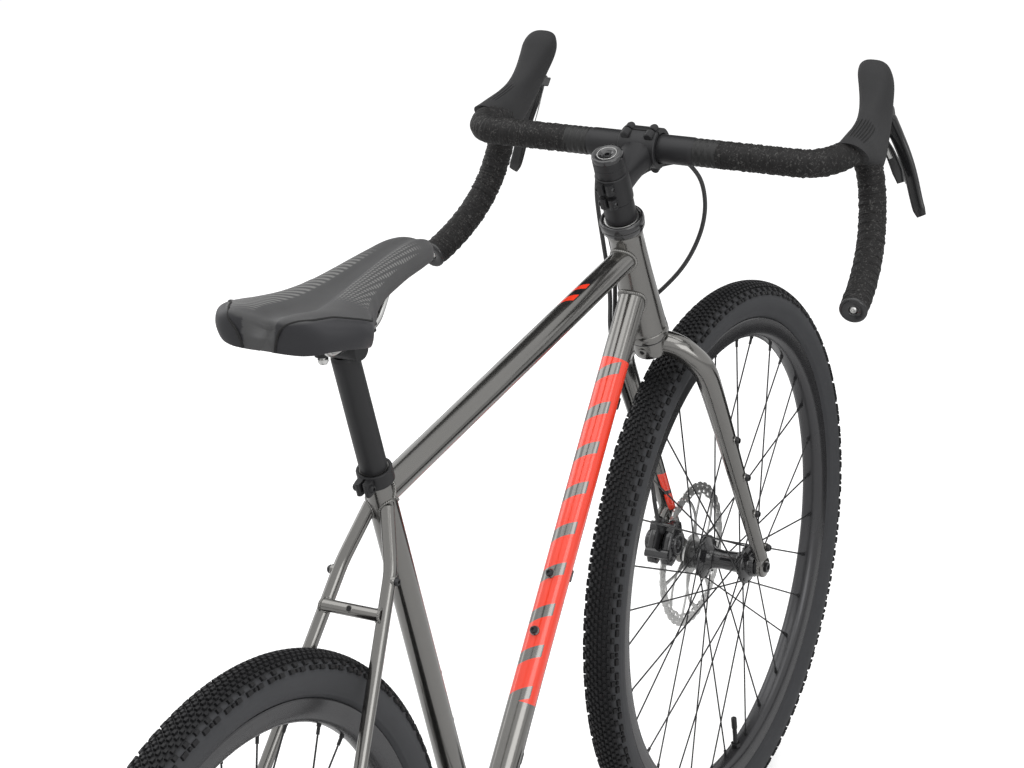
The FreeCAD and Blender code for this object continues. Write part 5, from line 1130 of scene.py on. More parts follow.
HOOD_ROWS = [
    # ahead and up of the section's top, of its foot, its width and how square it is
    (38, 15.0, 68, -16, 32.5, 2.2), (51, 16.5, 78, -22, 33.5, 2.3), (70, 18.5, 90, -29, 34, 2.4),
    (88, 21.0, 103, -36, 32.5, 2.5), (105, 25.5, 121, -28, 30.5, 2.6), (119, 33, 138, -12, 30.5, 2.7),
    (130, 43, 150, 4, 32.5, 2.9), (139, 54, 158, 20, 36, 3.0), (147, 64.5, 164, 34, 39.5, 3.0),
    (154.5, 71, 168, 44, 38, 2.8), (161, 72.8, 169.5, 52, 31, 2.6), (166, 69.8, 169.8, 58, 20, 2.4),
    (168, 66.5, 169.5, 61.5, 10, 2.2),
]
LEVER_LEAN = math.radians(16)
PADDLE_HINGE = bar(161, -217, -18)


def lever_pin(side):
    """The middle of a lever's pin, and the pin's direction."""
    lean = LEVER_LEAN * side
    return BAR + to_side((166, 215, 12), side), vec(0, math.cos(lean), math.sin(lean))


def hood(name, side):
    """The rubber hood: squarish sections fanned from the bar to the raised tip, toed in, with a cheek on each
    side that holds the lever's pin."""
    rows = through(HOOD_ROWS, 96)
    top = np.stack([rows[:, 0], rows[:, 1]], -1)
    foot = np.stack([rows[:, 2], rows[:, 3]], -1)
    middle, span = (top + foot) / 2, (top - foot) / 2
    sides = 64
    angle = (np.arange(sides) + 0.5) / sides * TAU
    c, s = squared(angle, rows[:, 5, None])
    ahead = middle[:, :1] + span[:, :1] * s
    up = middle[:, 1:] + span[:, 1:] * s
    upright = np.clip((ahead - 50) / 100, 0, 1) * 35
    left = 221 - 0.105 * (ahead - 70) - 0.18 * (up - upright) + rows[:, 4, None] / 2 * c
    points = BAR + to_side(np.stack([ahead, left, up], -1), side)
    shell = grid(points)
    over = np.clip(3.6 - np.abs(c - 0.25) / 0.2, 0, 1) * np.clip(4 * s - 0.2, 0, 1)
    zone = np.clip(3 - np.abs(ahead - 78) / 9, 0, 1) * over
    rib = np.broadcast_to(angle / TAU * 36, zone.shape)
    pivot, axis = lever_pin(side)
    line = np.linspace(pivot + vec(4, 0, -1), pivot + vec(-26, 0, 8), 14)
    cheeks = joined(*[tube(line + axis * gap, 5.4, 1.25, ref=axis, power=4, sides=28) for gap in (-9.9, 9.9)])
    rest = np.zeros(2 + len(cheeks[0]))
    traits = {"rib": np.r_[rib.ravel(), rest], "rib_zone": np.r_[zone.ravel(), rest]}
    piece("hood_rubber_" + name, {"hood_rubber": shell, "lever_plastic": cheeks}, "steering",
          ["hood_" + name], sharp=45, traits=traits)


def lever(name, side):
    """The brake lever: a blade that narrows, flattens and curls out at its tip, on a boss round its pin."""
    spine = [(164, 215.5, 18), (168, 219, 6), (172, 228, -16), (172, 237.5, -38), (171.5, 244.5, -60),
             (170, 250, -82), (168.5, 254.5, -97), (168, 258, -104)]
    path = bowed(BAR + to_side(spine, side), 70)
    run, stations = np.linspace(0, 1, 70), [0, 0.12, 0.3, 0.7, 0.94, 1]
    wide = np.interp(run, stations, [6.5, 8.8, 8.0, 7.6, 7.4, 5.6])
    deep = np.interp(run, stations, [4.5, 5.6, 4.6, 3.6, 3.2, 2.2])
    pivot, axis = lever_pin(side)
    blade = tube(path, wide, deep, ref=np.cross(axis, -UP), power=2.8, sides=40)
    boss = washer(2.05, 6.8, -7.4, 7.4, 0.8, pivot, axis, 40)
    # A thin bright steel line along the blade's front edge: a painted highlight.
    highlight_line_route = [(170.5, 213.0, 2), (175.5, 222, -22), (175, 229.5, -45), (172.5, 237.5, -70)]
    edge = tube(bowed(BAR + to_side(highlight_line_route, side), 40), 0.7, ref=AHEAD, sides=8)
    parts = {"lever_plastic": joined(blade, boss), "bright_steel": edge}
    if name == "right":
        parts["bolt_black"] = rods([PADDLE_HINGE + AHEAD * 0.5], [PADDLE_HINGE + AHEAD * 19], 1.5, 14)
    piece("lever_" + name, parts, name + "_lever", ["brake_lever_" + name])


def paddle():
    """The shift paddle behind the right lever: a thin curved leaf on a small hinge."""
    spine = [(161, 217, -19), (160.5, 222, -28), (158.5, 229, -41), (156.5, 235, -53), (154, 239, -63)]
    path = bowed(BAR + to_side(spine, -1), 40)
    run = np.linspace(0, 1, 40)
    wide = np.interp(run, [0, 0.25, 0.75, 1], [4.5, 6.2, 7.0, 4.6])
    leaf = tube(path, wide, 1.5, ref=AHEAD, power=3, sides=28)
    knuckle = washer(1.6, 4, 0.4, 5.2, 0.5, PADDLE_HINGE, AHEAD, 28)
    # A thin bright steel strip on the leaf's back face, named clip: a painted highlight.
    highlight_strip_route = [(158.6, 219, -23), (157.6, 223, -31), (156.4, 226.5, -37)]
    clip = tube(bowed(BAR + to_side(highlight_strip_route, -1), 20), 2.4, 0.6, ref=AHEAD, power=4, sides=16)
    piece("paddle_leaf", {"lever_plastic": joined(leaf, knuckle), "bright_steel": clip}, "paddle",
          ["shift_paddle"])


# Wheels


def tyre(name, axle):
    """A round casing with a rib above each bead, and rows of small knobs that follow its crown."""
    looks = bpy.context.scene.bike_sizes
    ring, section, lining = 317.5, 22.3, 20.6
    angle = np.linspace(-2.64, 2.64, 90)

    def ridge(height, place, width):
        return height * np.exp(-((np.abs(angle) - place) / width) ** 2)

    rib = ridge(0.55, 2.28, 0.05) + ridge(0.35, 1.36, 0.04)
    outer = np.stack([ring + (section + rib) * np.cos(angle), (section + rib) * np.sin(angle)], -1)
    inner = np.stack([ring + lining * np.cos(angle), lining * np.sin(angle)], -1)[::-1]
    casing = turned(np.vstack([outer, inner]), axle, LEFT, 220, True)
    count = 240
    columns = []
    for index, place in enumerate(np.linspace(-0.60, 0.60, 7)):
        columns.append((place, count, 0.5 * (index % 2), 5.2 - 0.6 * (index % 3 == 1), 3.5))
    for side in (-1, 1):
        columns += [(side * 0.83, count // 2, 0.25, 6.4, 4.4), (side * 1.06, count // 2, 0.75, 8.0, 4.6),
                    (side * 1.06, count // 4, 0.12, 4.0, 3.2)]
    knobs = []
    block = np.array([(-1, -1, 0), (1, -1, 0), (1, 1, 0), (-1, 1, 0)], float)
    for place, number, shift, long, wide in columns:
        turn = (np.arange(number) + shift) / number * TAU
        radial = np.stack([np.cos(turn), np.zeros(number), np.sin(turn)], -1)
        round_way = np.stack([-np.sin(turn), np.zeros(number), np.cos(turn)], -1)
        normal = radial * math.cos(place) + LEFT * math.sin(place)
        across = np.cross(normal, round_way)
        sunk = section - 0.4
        origin = axle + radial * (ring + sunk * math.cos(place)) + LEFT * (sunk * math.sin(place))
        height = looks.knob_height / MM + 0.4
        size = vec(long / 2, wide / 2, 1)
        levels = [block * size, block * size * vec(0.92, 0.90, 1) + UP * (height - 0.3),
                  block * size * vec(0.80, 0.76, 1) + UP * height]
        shape = grid(np.stack(levels))
        knobs.append(copies(shape, origin, np.stack([round_way, across, normal], 1)))
    tread = joined(*knobs)
    wall = np.arctan2(casing[0][:, 1] - axle[1], np.linalg.norm((casing[0] - axle)[:, [0, 2]], axis=1) - ring)
    traits = {"tread": np.r_[np.clip((0.86 - np.abs(wall)) / 0.16, 0, 1) * 0.9, np.ones(len(tread[0]))]}
    piece(name + "_tread", {"tyre_rubber": joined(casing, tread)}, name + "_wheel",
          [name + "_tyre"], sharp=40, traits=traits)


def rim(name, axle):
    """A deep rounded channel rim with hooked edges, and the valve between two spokes."""
    half = [(298.4, 12.0), (298.6, 13.4), (297.2, 14.3), (293, 14.1), (286, 13.6), (280, 12.2), (276.4, 9.6),
            (274.6, 6), (274.0, 2)]
    inner = [(277.0, 2), (280, 8), (288, 11.0), (295, 11.6)]
    profile = half + [(r, -y) for r, y in half[::-1]] + [(r, -y) for r, y in inner[::-1]] + inner
    hoop = turned(profile, axle, LEFT, 240, True)
    angle = -math.pi / 2 + math.pi / 32
    radial = vec(math.cos(angle), 0, math.sin(angle))
    valve = turned(eased([(2.9, 232), (2.9, 262), (3.1, 262), (3.1, 276)], 0.2), axle, radial, 20)
    nut = washer(3.2, 6.4, 268, 273.6, 0.5, axle, radial, 6)
    cap = turned(eased([(2.0, 230), (3.6, 231), (3.6, 246), (3.0, 247)], 0.4), axle, radial, 20)
    piece(name + "_hoop", {"rim_black": hoop, "bolt_black": joined(valve, nut, cap)}, name + "_wheel",
          [name + "_rim"])


def wheel_places(axle, radius, angle, left):
    """Places on a wheel: the angle runs from straight ahead towards the top."""
    angle, radius, left = np.broadcast_arrays(angle, radius, left)
    return axle + np.stack([radius * np.cos(angle), left, radius * np.sin(angle)], -1)


def spokes(name, axle, flanges):
    """Crossed spokes: half of each side's lead and half trail, from the flange's holes to the nipples."""
    count = 32
    index = np.arange(count)
    flange = np.asarray(flanges, float)[index % 2]
    trailing = np.where((index // 2) % 2, 1, -1)
    rim_angle = TAU * index / count
    hub_angle = rim_angle + trailing * TAU / 16 * 3 * 0.97
    face = np.where(trailing > 0, 1.6, -1.6)
    foot = wheel_places(axle, flange[:, 0] - 2.5, hub_angle, flange[:, 1] + face)
    head = wheel_places(axle, 275.5, rim_angle, np.copysign(1.5, flange[:, 1]))
    way = unit(head - foot)
    wires = rods(foot, head, 1.0, 8)
    heads = rods(foot - LEFT * 2.4, foot + LEFT * 2.4, 1.7, 8)
    nipples = rods(head - way * 11.5, head - way * 3, 1.8, 8)
    collars = rods(head - way * 4, head - way * 1, 2.4, 8)
    piece(name + "_spoke_set", {"bolt_black": joined(wires, heads), "satin_black": joined(nipples, collars)},
          name + "_wheel", [name + "_spokes"])


def hub(name, axle, profile):
    """The hub shell with its flanges and ends, turned."""
    piece(name + "_hub_shell", {"gloss_black": turned_ring(profile, 0.6, axle, LEFT, 72)}, name + "_wheel",
          [name + "_hub"])


def disc(name, axle, radius, left):
    """A brake disc. The track is two staggered rows of cells, each a plate between an oval hole and the
    cell's own four sides; the outer row's edge waves. Curved arms join it to the carrier."""
    half, cells = 0.9, 36
    centre, middle = axle + LEFT * left, radius - 8.5
    c, s = np.cos(around(20)), np.sin(around(20))
    square = np.maximum(np.abs(c), np.abs(s))
    edge = (c / square, s / square)
    number = np.arange(cells)[:, None]
    shells = []
    for low, high, shift, hole in ((radius - 15.5, middle, 0.0, (0.50 * c, 0.52 * s)),
                                   (middle, radius - 1.2, 0.5, (0.34 * c, 0.42 * s))):
        rows = []
        for (share_a, share_r), side in ((hole, 1), (edge, 1), (edge, -1), (hole, -1)):
            angle = (number + shift + 0.5 * share_a) * (TAU / cells)
            place = (low + high) / 2 + (high - low) / 2 * share_r
            place = place + np.clip((place - middle) / 7.3, 0, 1) * 1.2 * np.cos(angle * cells)
            place = place + np.clip((middle - place) / 7.0, 0, 1) * np.cos(angle * cells / 2)
            rows.append(wheel_places(centre, place, angle, side * half))
        stack = np.stack(rows, 1)
        shells += [grid(stack[k], looped=True) for k in range(cells)]
    run = np.linspace(0, 1, 26)
    for k in range(6):
        for bend, reach in ((0.62, 1.0), (0.18, 0.55)):
            angle = k * TAU / 6 + bend * run ** 1.4 * reach + 0.25 * (1 - run) * (bend < 0.5)
            path = wheel_places(centre, 21 + (radius - 36) * run, angle, 0.0)
            shells.append(tube(path, 2.6 - 0.7 * np.sin(run * math.pi), half, ref=LEFT, power=5, sides=16))
    shells.append(washer(17, 25, left - 1.1, left + 1.1, 0.3, axle, LEFT, 64))
    lock = turned_ring([(15.5, left + 1.2), (20.5, left + 1.2), (20.0, left + 4.6), (15.5, left + 4.6)], 0.6,
                       axle, LEFT, 24)
    piece(name + "_disc", {"bright_steel": joined(*shells), "satin_black": lock}, name + "_wheel",
          [name + "_rotor"])


def wheel_set():
    """Both wheels, from the tyres in to the hubs."""
    for name, axle in (("front", FRONT_AXLE), ("rear", REAR_AXLE)):
        tyre(name, axle)
        rim(name, axle)
    spokes("front", FRONT_AXLE, [(27, 21.5), (24, -33.5)])
    spokes("rear", REAR_AXLE, [(24, 31.5), (27, -18.5)])
    hub("front", FRONT_AXLE, [(9.1, -46), (13.8, -46), (14, -39), (17, -38), (23.5, -36), (24.5, -33.5),
                              (23.5, -31), (16, -28), (12.6, -22), (11.4, -2), (12.6, 9), (16, 15),
                              (26, 18.6), (27.4, 21.5), (26, 24.2), (18, 27), (16.8, 33), (16.8, 46),
                              (9.1, 46)])
    hub("rear", REAR_AXLE, [(9.05, -22), (16, -22), (27, -20), (27, -17), (15, -8), (14, 20), (24, 30),
                            (24, 33), (15, 38), (17, 46), (17, 64), (9.05, 64)])
    disc("front", FRONT_AXLE, 90, 41)
    disc("rear", REAR_AXLE, 80, 56)


# Brakes

FRONT_CALIPER, REAR_CALIPER = FRONT_AXLE + vec(-72, 41, 47), rear(72, 56, 33)
FRONT_INLET, REAR_INLET = FRONT_CALIPER + vec(-5, 0, 3) + STEER_UP * 16, REAR_CALIPER + vec(20, 0, 8)
INLET_LENGTH = 18


def caliper(name, centre, axle, inlet, inlet_way, body):
    """A two-sided caliper over the disc: rounded halves, piston housings with a ribbed cap, and a stub for
    the hose."""
    out = unit((centre - axle) * vec(1, 0, 1))
    along = np.cross(LEFT, out)
    black = []
    swell = np.sin(np.clip(np.linspace(0, 1, 40), 0.02, 0.98) * math.pi) ** 0.35
    for low, high in ((2.2, 16), (-17, -2.2)):
        path = [centre + out * 3 + along * x + LEFT * ((low + high) / 2) for x in np.linspace(-27, 27, 40)]
        wide = (high - low) / 2 * (0.7 + 0.3 * swell)
        black.append(tube(path, wide, 16.5 * swell, ref=out, power=3.2, sides=40))
    for x in (-16, 16):
        path = [centre + out * 15 + along * x + LEFT * y for y in np.linspace(-15, 15, 12)]
        black.append(tube(path, 6, 5, ref=out, power=3, sides=24))
    piston = centre + out * 2
    cap = eased([(10.5, 12), (13.5, 13), (13.8, 18), (12.6, 20.5), (11.4, 20.5), (10.6, 19.2), (5, 19.2),
                 (4, 18.2)], 0.6)
    black += [turned(cap, piston, LEFT * side, 48) for side in (-1, 1)]
    ribs = rods(*(wheel_places(piston, 13.6, around(18), left) for left in (-13.4, -18.4)), 0.9, 6)
    stub = turned(eased([(3.4, -2), (5.4, 0), (5.4, 7), (4.4, 8), (4.4, 17.5), (2.6, INLET_LENGTH)], 0.5),
                  inlet, inlet_way, 28)
    pins = [bolt(centre + out * 8 + along * x + LEFT * -14, -LEFT, 3.2, 3, 1.5) for x in (-20, 20)]
    fin = plate([(-13, 0), (13, 0), (11, 12), (-11, 12)], 2.4, centre + out * 17, along, out, 0.5, (0, 6))
    parts = {"gloss_black": joined(*black), "satin_black": joined(stub, ribs, fin),
             "bolt_black": joined(*pins)}
    piece(name + "_caliper_body", parts, body, [name + "_caliper"])


def calipers():
    """The front caliper on the fork and the rear one on the frame."""
    caliper("front", FRONT_CALIPER, FRONT_AXLE, FRONT_INLET, STEER_UP, "steering")
    caliper("rear", REAR_CALIPER, REAR_AXLE, REAR_INLET, AHEAD, "frame")


# Hoses

HOSE_RADIUS = 2.5
HOUSING_END = rear(-34, -90, -90)


def under_frame(side):
    """The hoses' points from the guides under the down tube to the chainstay."""
    gap = 4 * side
    return [down_tube(545, 21, gap), down_tube(92, 21, gap), down_tube(56, 24, 8 * side),
            crank(24, 14 * side, -22), crank(-8, 18 * side, -27), crank(-48, 24 * side, -16),
            rear(333, 27.4 * side, -70), rear(270, 36 * side, -58)]


def hose(name, points, replaced):
    """A round hose on one smooth spline, whose control points are the route's."""
    data = bpy.data.curves.new(name + "_line", "CURVE")
    data.dimensions = "3D"
    spline = data.splines.new("NURBS")
    spline.points.add(len(points) - 1)
    rows = np.hstack([np.asarray(points) * MM, np.ones((len(points), 1))])
    spline.points.foreach_set("co", rows.ravel())
    spline.order_u = 3
    spline.use_endpoint_u = True
    spline.resolution_u = 10
    data.bevel_depth = HOSE_RADIUS * MM
    data.bevel_resolution = 5
    data.use_fill_caps = True
    holder = placed(name + "_line", data)
    bpy.context.view_layer.update()
    evaluated = holder.evaluated_get(bpy.context.evaluated_depsgraph_get())
    mesh = bpy.data.meshes.new_from_object(evaluated)
    bpy.data.objects.remove(holder)
    mesh.name = name
    mesh.materials.clear()
    mesh.materials.append(finish("hose_jacket"))
    mesh.polygons.foreach_set("use_smooth", np.ones(len(mesh.polygons), bool))
    mesh.set_sharp_from_angle(angle=math.radians(50))
    made = placed(name, mesh)
    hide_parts(replaced)
    return made


def hoses():
    """The front hose rides on the fork; the rear hose and the shift housing run from the bar to the frame,
    laid where they are.
    """
    front_inlet = FRONT_INLET + STEER_UP * INLET_LENGTH
    front = [bar(10, -50, -18.5), bar(22, -54, -31), bar(35, -55, -53), bar(44, -52, -83), bar(45, -43, -115),
             bar(38, -27, -148), bar(27, -4, -175), bar(16, 22, -198), bar(-1, 41, -210), on_blade(8, 18, 0),
             on_blade(50, 16.5, 0), on_blade(100, 15.5, 0), on_blade(150, 15.2, 0), on_blade(192, 16, 0),
             on_blade(226, 24, -6), front_inlet + STEER_UP * 22, front_inlet]
    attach(hose("hose_front", front, "front_brake_hose"), "steering")
    rear_inlet = REAR_INLET + AHEAD * INLET_LENGTH
    left = [bar(10, 60, -18.5), bar(9, 62, -36), bar(0, 60.5, -58), bar(-5, 56, -82), bar(-11, 49, -110),
            bar(-20, 40, -140), bar(-31, 32, -168), bar(-50, 25, -200), down_tube(574, 22.5, 13),
            *under_frame(1), rear(235, 40.5, -50.5), rear(200, 42, -34), rear(175, 48, -12),
            rear(163, 53, 12), rear(150, 56, 32), rear_inlet + AHEAD * 20, rear_inlet]
    right = [bar(18, -50, -11), bar(30, -40, -20), bar(35, -16, -27), bar(34, 12, -36), bar(27, 34, -54),
             bar(15, 44, -84), bar(3, 42, -114), bar(-10, 36, -146), bar(-22, 31, -176), bar(-40, 25, -207),
             down_tube(572, 29, 8), *under_frame(-1), rear(215, -45.5, -48.5), rear(160, -58, -41),
             rear(105, -70, -31), rear(60, -80, -24), rear(20, -90, -20), rear(-16, -96, -22),
             rear(-42, -98, -33), rear(-56, -97, -54), rear(-52, -94, -77), HOUSING_END]
    start, end = down_tube(575) * MM, bar(30, 0, -40) * MM
    for name, route, node in (("hose_rear", left, "rear_brake_hose"),
                              ("housing_shift", right, "shift_housing")):
        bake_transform(hose(name, route, node), "frame", "steering", start=tuple(start), end=tuple(end))


# Drive

CRANK_LENGTH, ARM_FACE = 172.5, 72
CHAIN_LINE = -44.75


def crank_eye(side):
    """The place level with the crank axle where a pedal's axis crosses the middle plane."""
    return crank(-side * CRANK_LENGTH, 0, 0)


def crank_arms():
    """Forged arms that swell at both ends, the spindle, the spider and the pedal spindles."""
    run = np.linspace(0, 1, 50)
    tall = np.interp(run, [0, 0.03, 0.12, 0.25, 0.8, 0.9, 0.97, 1], [8, 15, 19, 14, 11.5, 13, 11, 5])
    thick = np.interp(run, [0, 0.05, 0.2, 0.8, 0.95, 1], [4, 7, 7.4, 6.2, 6.6, 3.5])
    spindle = [(3, -6), (7.0, -6), (7.0, 12), (6.9, 12), (6.9, 98), (3, 98)]
    for name, side in SIDES.items():
        eye, out = crank_eye(side), LEFT * side
        path = [CRANK_AXLE + (eye - CRANK_AXLE) * t + out * 65 for t in np.linspace(-0.10, 1.075, 50)]
        shells = [tube(path, thick, tall, power=2.8, sides=48)]
        cap = turned(eased([(3, 1), (10, 1), (12.5, 0)], 0.4), CRANK_AXLE + out * ARM_FACE, out, 40)
        steel = [turned_ring(spindle, 0.5, eye + out * ARM_FACE, out, 32)]
        if name == "right":
            shells.append(washer(11.8, 21.5, 46, 59, 1.0, CRANK_AXLE, -LEFT, 48))
            for index in range(4):
                angle = math.radians(45 + 90 * index)
                arm = wheel_places(CRANK_AXLE, np.linspace(16, 68.5, 20), angle, -48.6)
                shells.append(tube(arm, np.linspace(9, 5.5, 20), 2.9, ref=LEFT, power=3, sides=24))
            steel.append(turned([(11.9, -70), (11.9, 70)], CRANK_AXLE, LEFT, 40))
        piece("crank_arm_" + name, {"gloss_black": joined(*shells, cap), "bright_steel": joined(*steel)},
              "cranks", ["crank_" + name])


def pedals():
    """Flat pedals: a rounded frame round a spindle barrel, with cross webs and grip pins."""
    corners = [(-46, -38), (-40, -43), (40, -43), (46, -38), (46, 38), (40, 43), (-40, 43), (-46, 38)]
    loop = np.asarray(corners, float)
    dense = np.vstack([np.linspace(a, b, 8, endpoint=False) for a, b in zip(loop, np.roll(loop, -1, 0))])
    section = np.array([(-2.2, -8), (2.2, -8), (2.6, 0), (2.2, 8), (-2.2, 8), (-2.6, 0)])
    barrel = [(7.1, -44), (9.5, -44), (10.2, -20), (10.2, 20), (9.5, 44), (7.1, 44)]
    pins = np.array([(-46, -30), (-46, 0), (-46, 30), (46, -30), (46, 0), (46, 30), (-20, 43), (20, 43),
                     (-20, -43), (20, -43)])

    def level(pairs):
        return pairs[:, :1] * AHEAD + pairs[:, 1:] * LEFT

    for name, side in SIDES.items():
        centre = crank_eye(side) + LEFT * side * (ARM_FACE + 4 + 45)
        path, out = centre + level(dense), level(unit(dense))
        rows = path[:, None] + section[None, :, 0, None] * out[:, None] + section[None, :, 1, None] * UP
        shells = [grid(rows, looped=True), turned_ring(barrel, 0.6, centre, LEFT, 40)]
        for step in (-24, 0, 24):
            line = np.linspace(centre + vec(-45, step, 0), centre + vec(45, step, 0), 8)
            shells += [tube(end, 2.2, 6.5, ref=UP, power=4, sides=16) for end in (line[:3], line[-3:])]
        spots = centre + level(pins)
        studs = [rods(spots + way * 7, spots + way * 10, 1.6, 10) for way in (UP, -UP)]
        piece("pedal_body_" + name, {"satin_black": joined(*shells), "bright_steel": joined(*studs)},
              name + "_pedal", ["pedal_" + name])


def derailleur():
    """The rear derailleur: a hanger knuckle, a rounded parallelogram, the cage drum, two cage plates and the
    arm with the barrel that the shift housing ends in."""
    guide = rear(12, CHAIN_LINE, -82)
    tension = vec(-509.523, CHAIN_LINE, 170.567)
    hanger = rear(-14, -79, -35)
    knuckle = turned(eased([(3, 0.3), (9, 0.3), (9.4, 8), (9, 16), (5.5, 17), (3.2, 15.5)], 0.6), hanger,
                     -LEFT, 40)
    drum_top = vec(guide[0], hanger[1] - 13, guide[2])
    drum = turned(eased([(3, 0), (13.2, 0), (13.2, 30), (12, 41), (6, 42), (3, 41)], 0.8),
                  vec(guide[0], -51.2, guide[2]), -LEFT, 48)
    start, end = hanger - LEFT * 9, drum_top + LEFT * 4
    path = bowed([start, start * 0.6 + end * 0.4 + vec(-4, -3, 0), start * 0.3 + end * 0.7 + vec(-3, -3, 0),
                  end], 30)
    link = tube(path, 9.5, 6.5, ref=LEFT, power=3.2, sides=36)
    way, length = unit(tension - guide), np.linalg.norm(tension - guide)
    half = [(-10, 10.5), (0, 13), (16, 8.5), (length / 2, 6.5), (length - 16, 8.5), (length, 12.5),
            (length + 10, 9)]
    outline = [(-13, 0), *half, (length + 12.5, 0), *((x, -y) for x, y in half[::-1]), (-13, 0.01)]
    smooth = bowed(outline, 90)[:-1]
    plates = [plate(smooth, 1.6, guide + LEFT * face, way, np.cross(way, LEFT), 0.4, (length / 2, 0))
              for face in (-5.6, 5.6)]
    into = unit(vec(18, 4, -13))
    barrel = turned(eased([(2.2, -3), (4.6, -3), (5.4, -1), (5.4, 11), (4.2, 13), (3, 13)], 0.5), HOUSING_END,
                    into, 32)
    arm = bowed([HOUSING_END + into * 8, HOUSING_END + vec(22, 2, -4), drum_top + vec(-6, 8, 0)], 24)
    stop = tube(arm, 6, 4.5, ref=LEFT, power=3, sides=28)
    screws = [bolt(centre - LEFT * 6.2, -LEFT, 4.2, 2.4) for centre in (guide, tension)]
    pivots = rods(*([centre + LEFT * y for centre in (guide, tension)] for y in (-6.4, 6.4)), 3.0, 20)
    parts = {"satin_black": joined(knuckle, drum, link, barrel, stop), "dark_steel": joined(*plates),
             "bolt_black": joined(*screws, pivots)}
    piece("derailleur_body", parts, "frame", ["derailleur"])


# The stage

CAMERA_PLACE = (-2.3131, -1.3240, 1.8369)
CAMERA_YAW, CAMERA_PITCH, CAMERA_ROLL = (math.radians(x) for x in (29.472, 21.817, 3.116))
FOCAL_PIXELS, IMAGE_WIDTH, SENSOR = 2838.0, 1024, 36.0
FLOOR_REACH, FLOOR_LEVEL = 12.0, -0.0005


def set_down(made, place, *axes):
    """Puts an object at a place in metres, with its own axes along three directions."""
    rows = np.stack(axes, 1)
    made.matrix_world = Matrix([[*rows[k], place[k]] for k in range(3)] + [[0, 0, 0, 1]])


def heading(turn, rise):
    """The direction at an angle round the vertical and an angle above the level."""
    return vec(math.cos(turn) * math.cos(rise), math.sin(turn) * math.cos(rise), math.sin(rise))


def camera():
    """A camera at the photograph's place, angle and field of view."""
    ahead = heading(CAMERA_YAW, -CAMERA_PITCH)
    right = vec(math.sin(CAMERA_YAW), -math.cos(CAMERA_YAW), 0)
    down = np.cross(ahead, right)
    c, s = math.cos(CAMERA_ROLL), math.sin(CAMERA_ROLL)
    right, down = c * right + s * down, c * down - s * right
    data = bpy.data.cameras.new("photo_camera")
    data.sensor_width = SENSOR
    data.lens = FOCAL_PIXELS * SENSOR / IMAGE_WIDTH
    made = placed("photo_camera", data)
    set_down(made, CAMERA_PLACE, right, -down, -ahead)
    bpy.context.scene.camera = made


def soft_light(name, place, aim, size, power):
    """A rectangular soft box at a place, turned to face a point."""
    data = bpy.data.lights.new(name, "AREA")
    data.shape = "RECTANGLE"
    data.size, data.size_y = size
    data.energy = power
    back = unit(vec(*place) - vec(*aim))
    side = unit(np.cross(UP if abs(back[2]) < 0.95 else AHEAD, back))
    set_down(placed(name, data), place, side, np.cross(back, side), back)


def flat_sheet(name, corners, material):
    """Four corners in metres as one face of the stage."""
    mesh = bpy.data.meshes.new(name)
    mesh.from_pydata([tuple(corner) for corner in corners], [], [(0, 1, 2, 3)])
    mesh.materials.append(material)
    made = placed(name, mesh)
    return made


def stage(looks):
    """A pale floor, a white surround for the camera and for reflections, soft boxes, and dark cards that only
    reflections see."""
    world = bpy.data.worlds.new("studio")
    bpy.context.scene.world = world
    world.use_nodes = True
    nodes, links = world.node_tree.nodes, world.node_tree.links
    background = nodes["Background"]
    background.inputs["Color"].default_value = (1, 1, 1, 1)
    path = nodes.new("ShaderNodeLightPath")
    seen = path.outputs["Is Camera Ray"]
    for kind in ("Is Glossy Ray", "Is Transmission Ray"):
        either = nodes.new("ShaderNodeMath")
        either.operation = "MAXIMUM"
        links.new(seen, either.inputs[0])
        links.new(path.outputs[kind], either.inputs[1])
        seen = either.outputs[0]
    level = nodes.new("ShaderNodeMapRange")
    level.inputs["To Min"].default_value = looks.fill_level
    level.inputs["To Max"].default_value = 1.0
    links.new(seen, level.inputs["Value"])
    links.new(level.outputs[0], background.inputs["Strength"])

    floor = Paint("studio_floor", Roughness=0.9, Specular_IOR_Level=0.0)
    tone = floor.noise(3.0, 2.0)
    floor.set({"Base Color": floor.mix(tone, (0.86, 0.86, 0.86), (0.88, 0.88, 0.88)),
               "Emission Strength": 1.0})
    shine = floor.tree.nodes.new("ShaderNodeLightPath")
    seen = Signal(floor, shine.outputs["Is Camera Ray"])
    floor.set({"Emission Color": floor.mix(seen, (0.0, 0.0, 0.0), (looks.floor_lift,) * 3)})
    quarters = ((-1, -1), (1, -1), (1, 1), (-1, 1))
    flat_sheet("studio_floor", [(x * FLOOR_REACH, y * FLOOR_REACH, FLOOR_LEVEL) for x, y in quarters],
               floor.material)
    card = Paint("dark_card", Roughness=0.9, Specular_IOR_Level=0.0)
    card.set({"Base Color": card.mix(card.noise(2.0), (0.02, 0.02, 0.02), (0.03, 0.03, 0.03))})
    middle = vec(0, 0, 0.8)
    for name, turns, rises, away in (("card_ahead", (-4, 38), (5, 46), 3.4),
                                     ("card_low", (-50, 50), (-34, -14), 2.2)):
        turns, rises = np.radians(turns), np.radians(rises)
        corners = [middle + away * heading(turns[(x + 1) // 2], rises[(y + 1) // 2]) for x, y in quarters]
        sheet = flat_sheet(name, corners, card.material)
        sheet.visible_camera = False
        sheet.visible_diffuse = False
        sheet.visible_shadow = False
    soft_light("box_over", (-0.3, 0.0, 3.2), (0, 0, 0.6), (4.2, 3.0), looks.over_power)
    soft_light("box_right", (-1.4, -2.8, 1.9), (0, 0, 0.7), (2.4, 1.6), looks.side_power)
    soft_light("box_left", (0.6, 3.0, 1.8), (0, 0, 0.6), (2.4, 1.6), looks.side_power * 0.6)


# Settings, operators and the panel


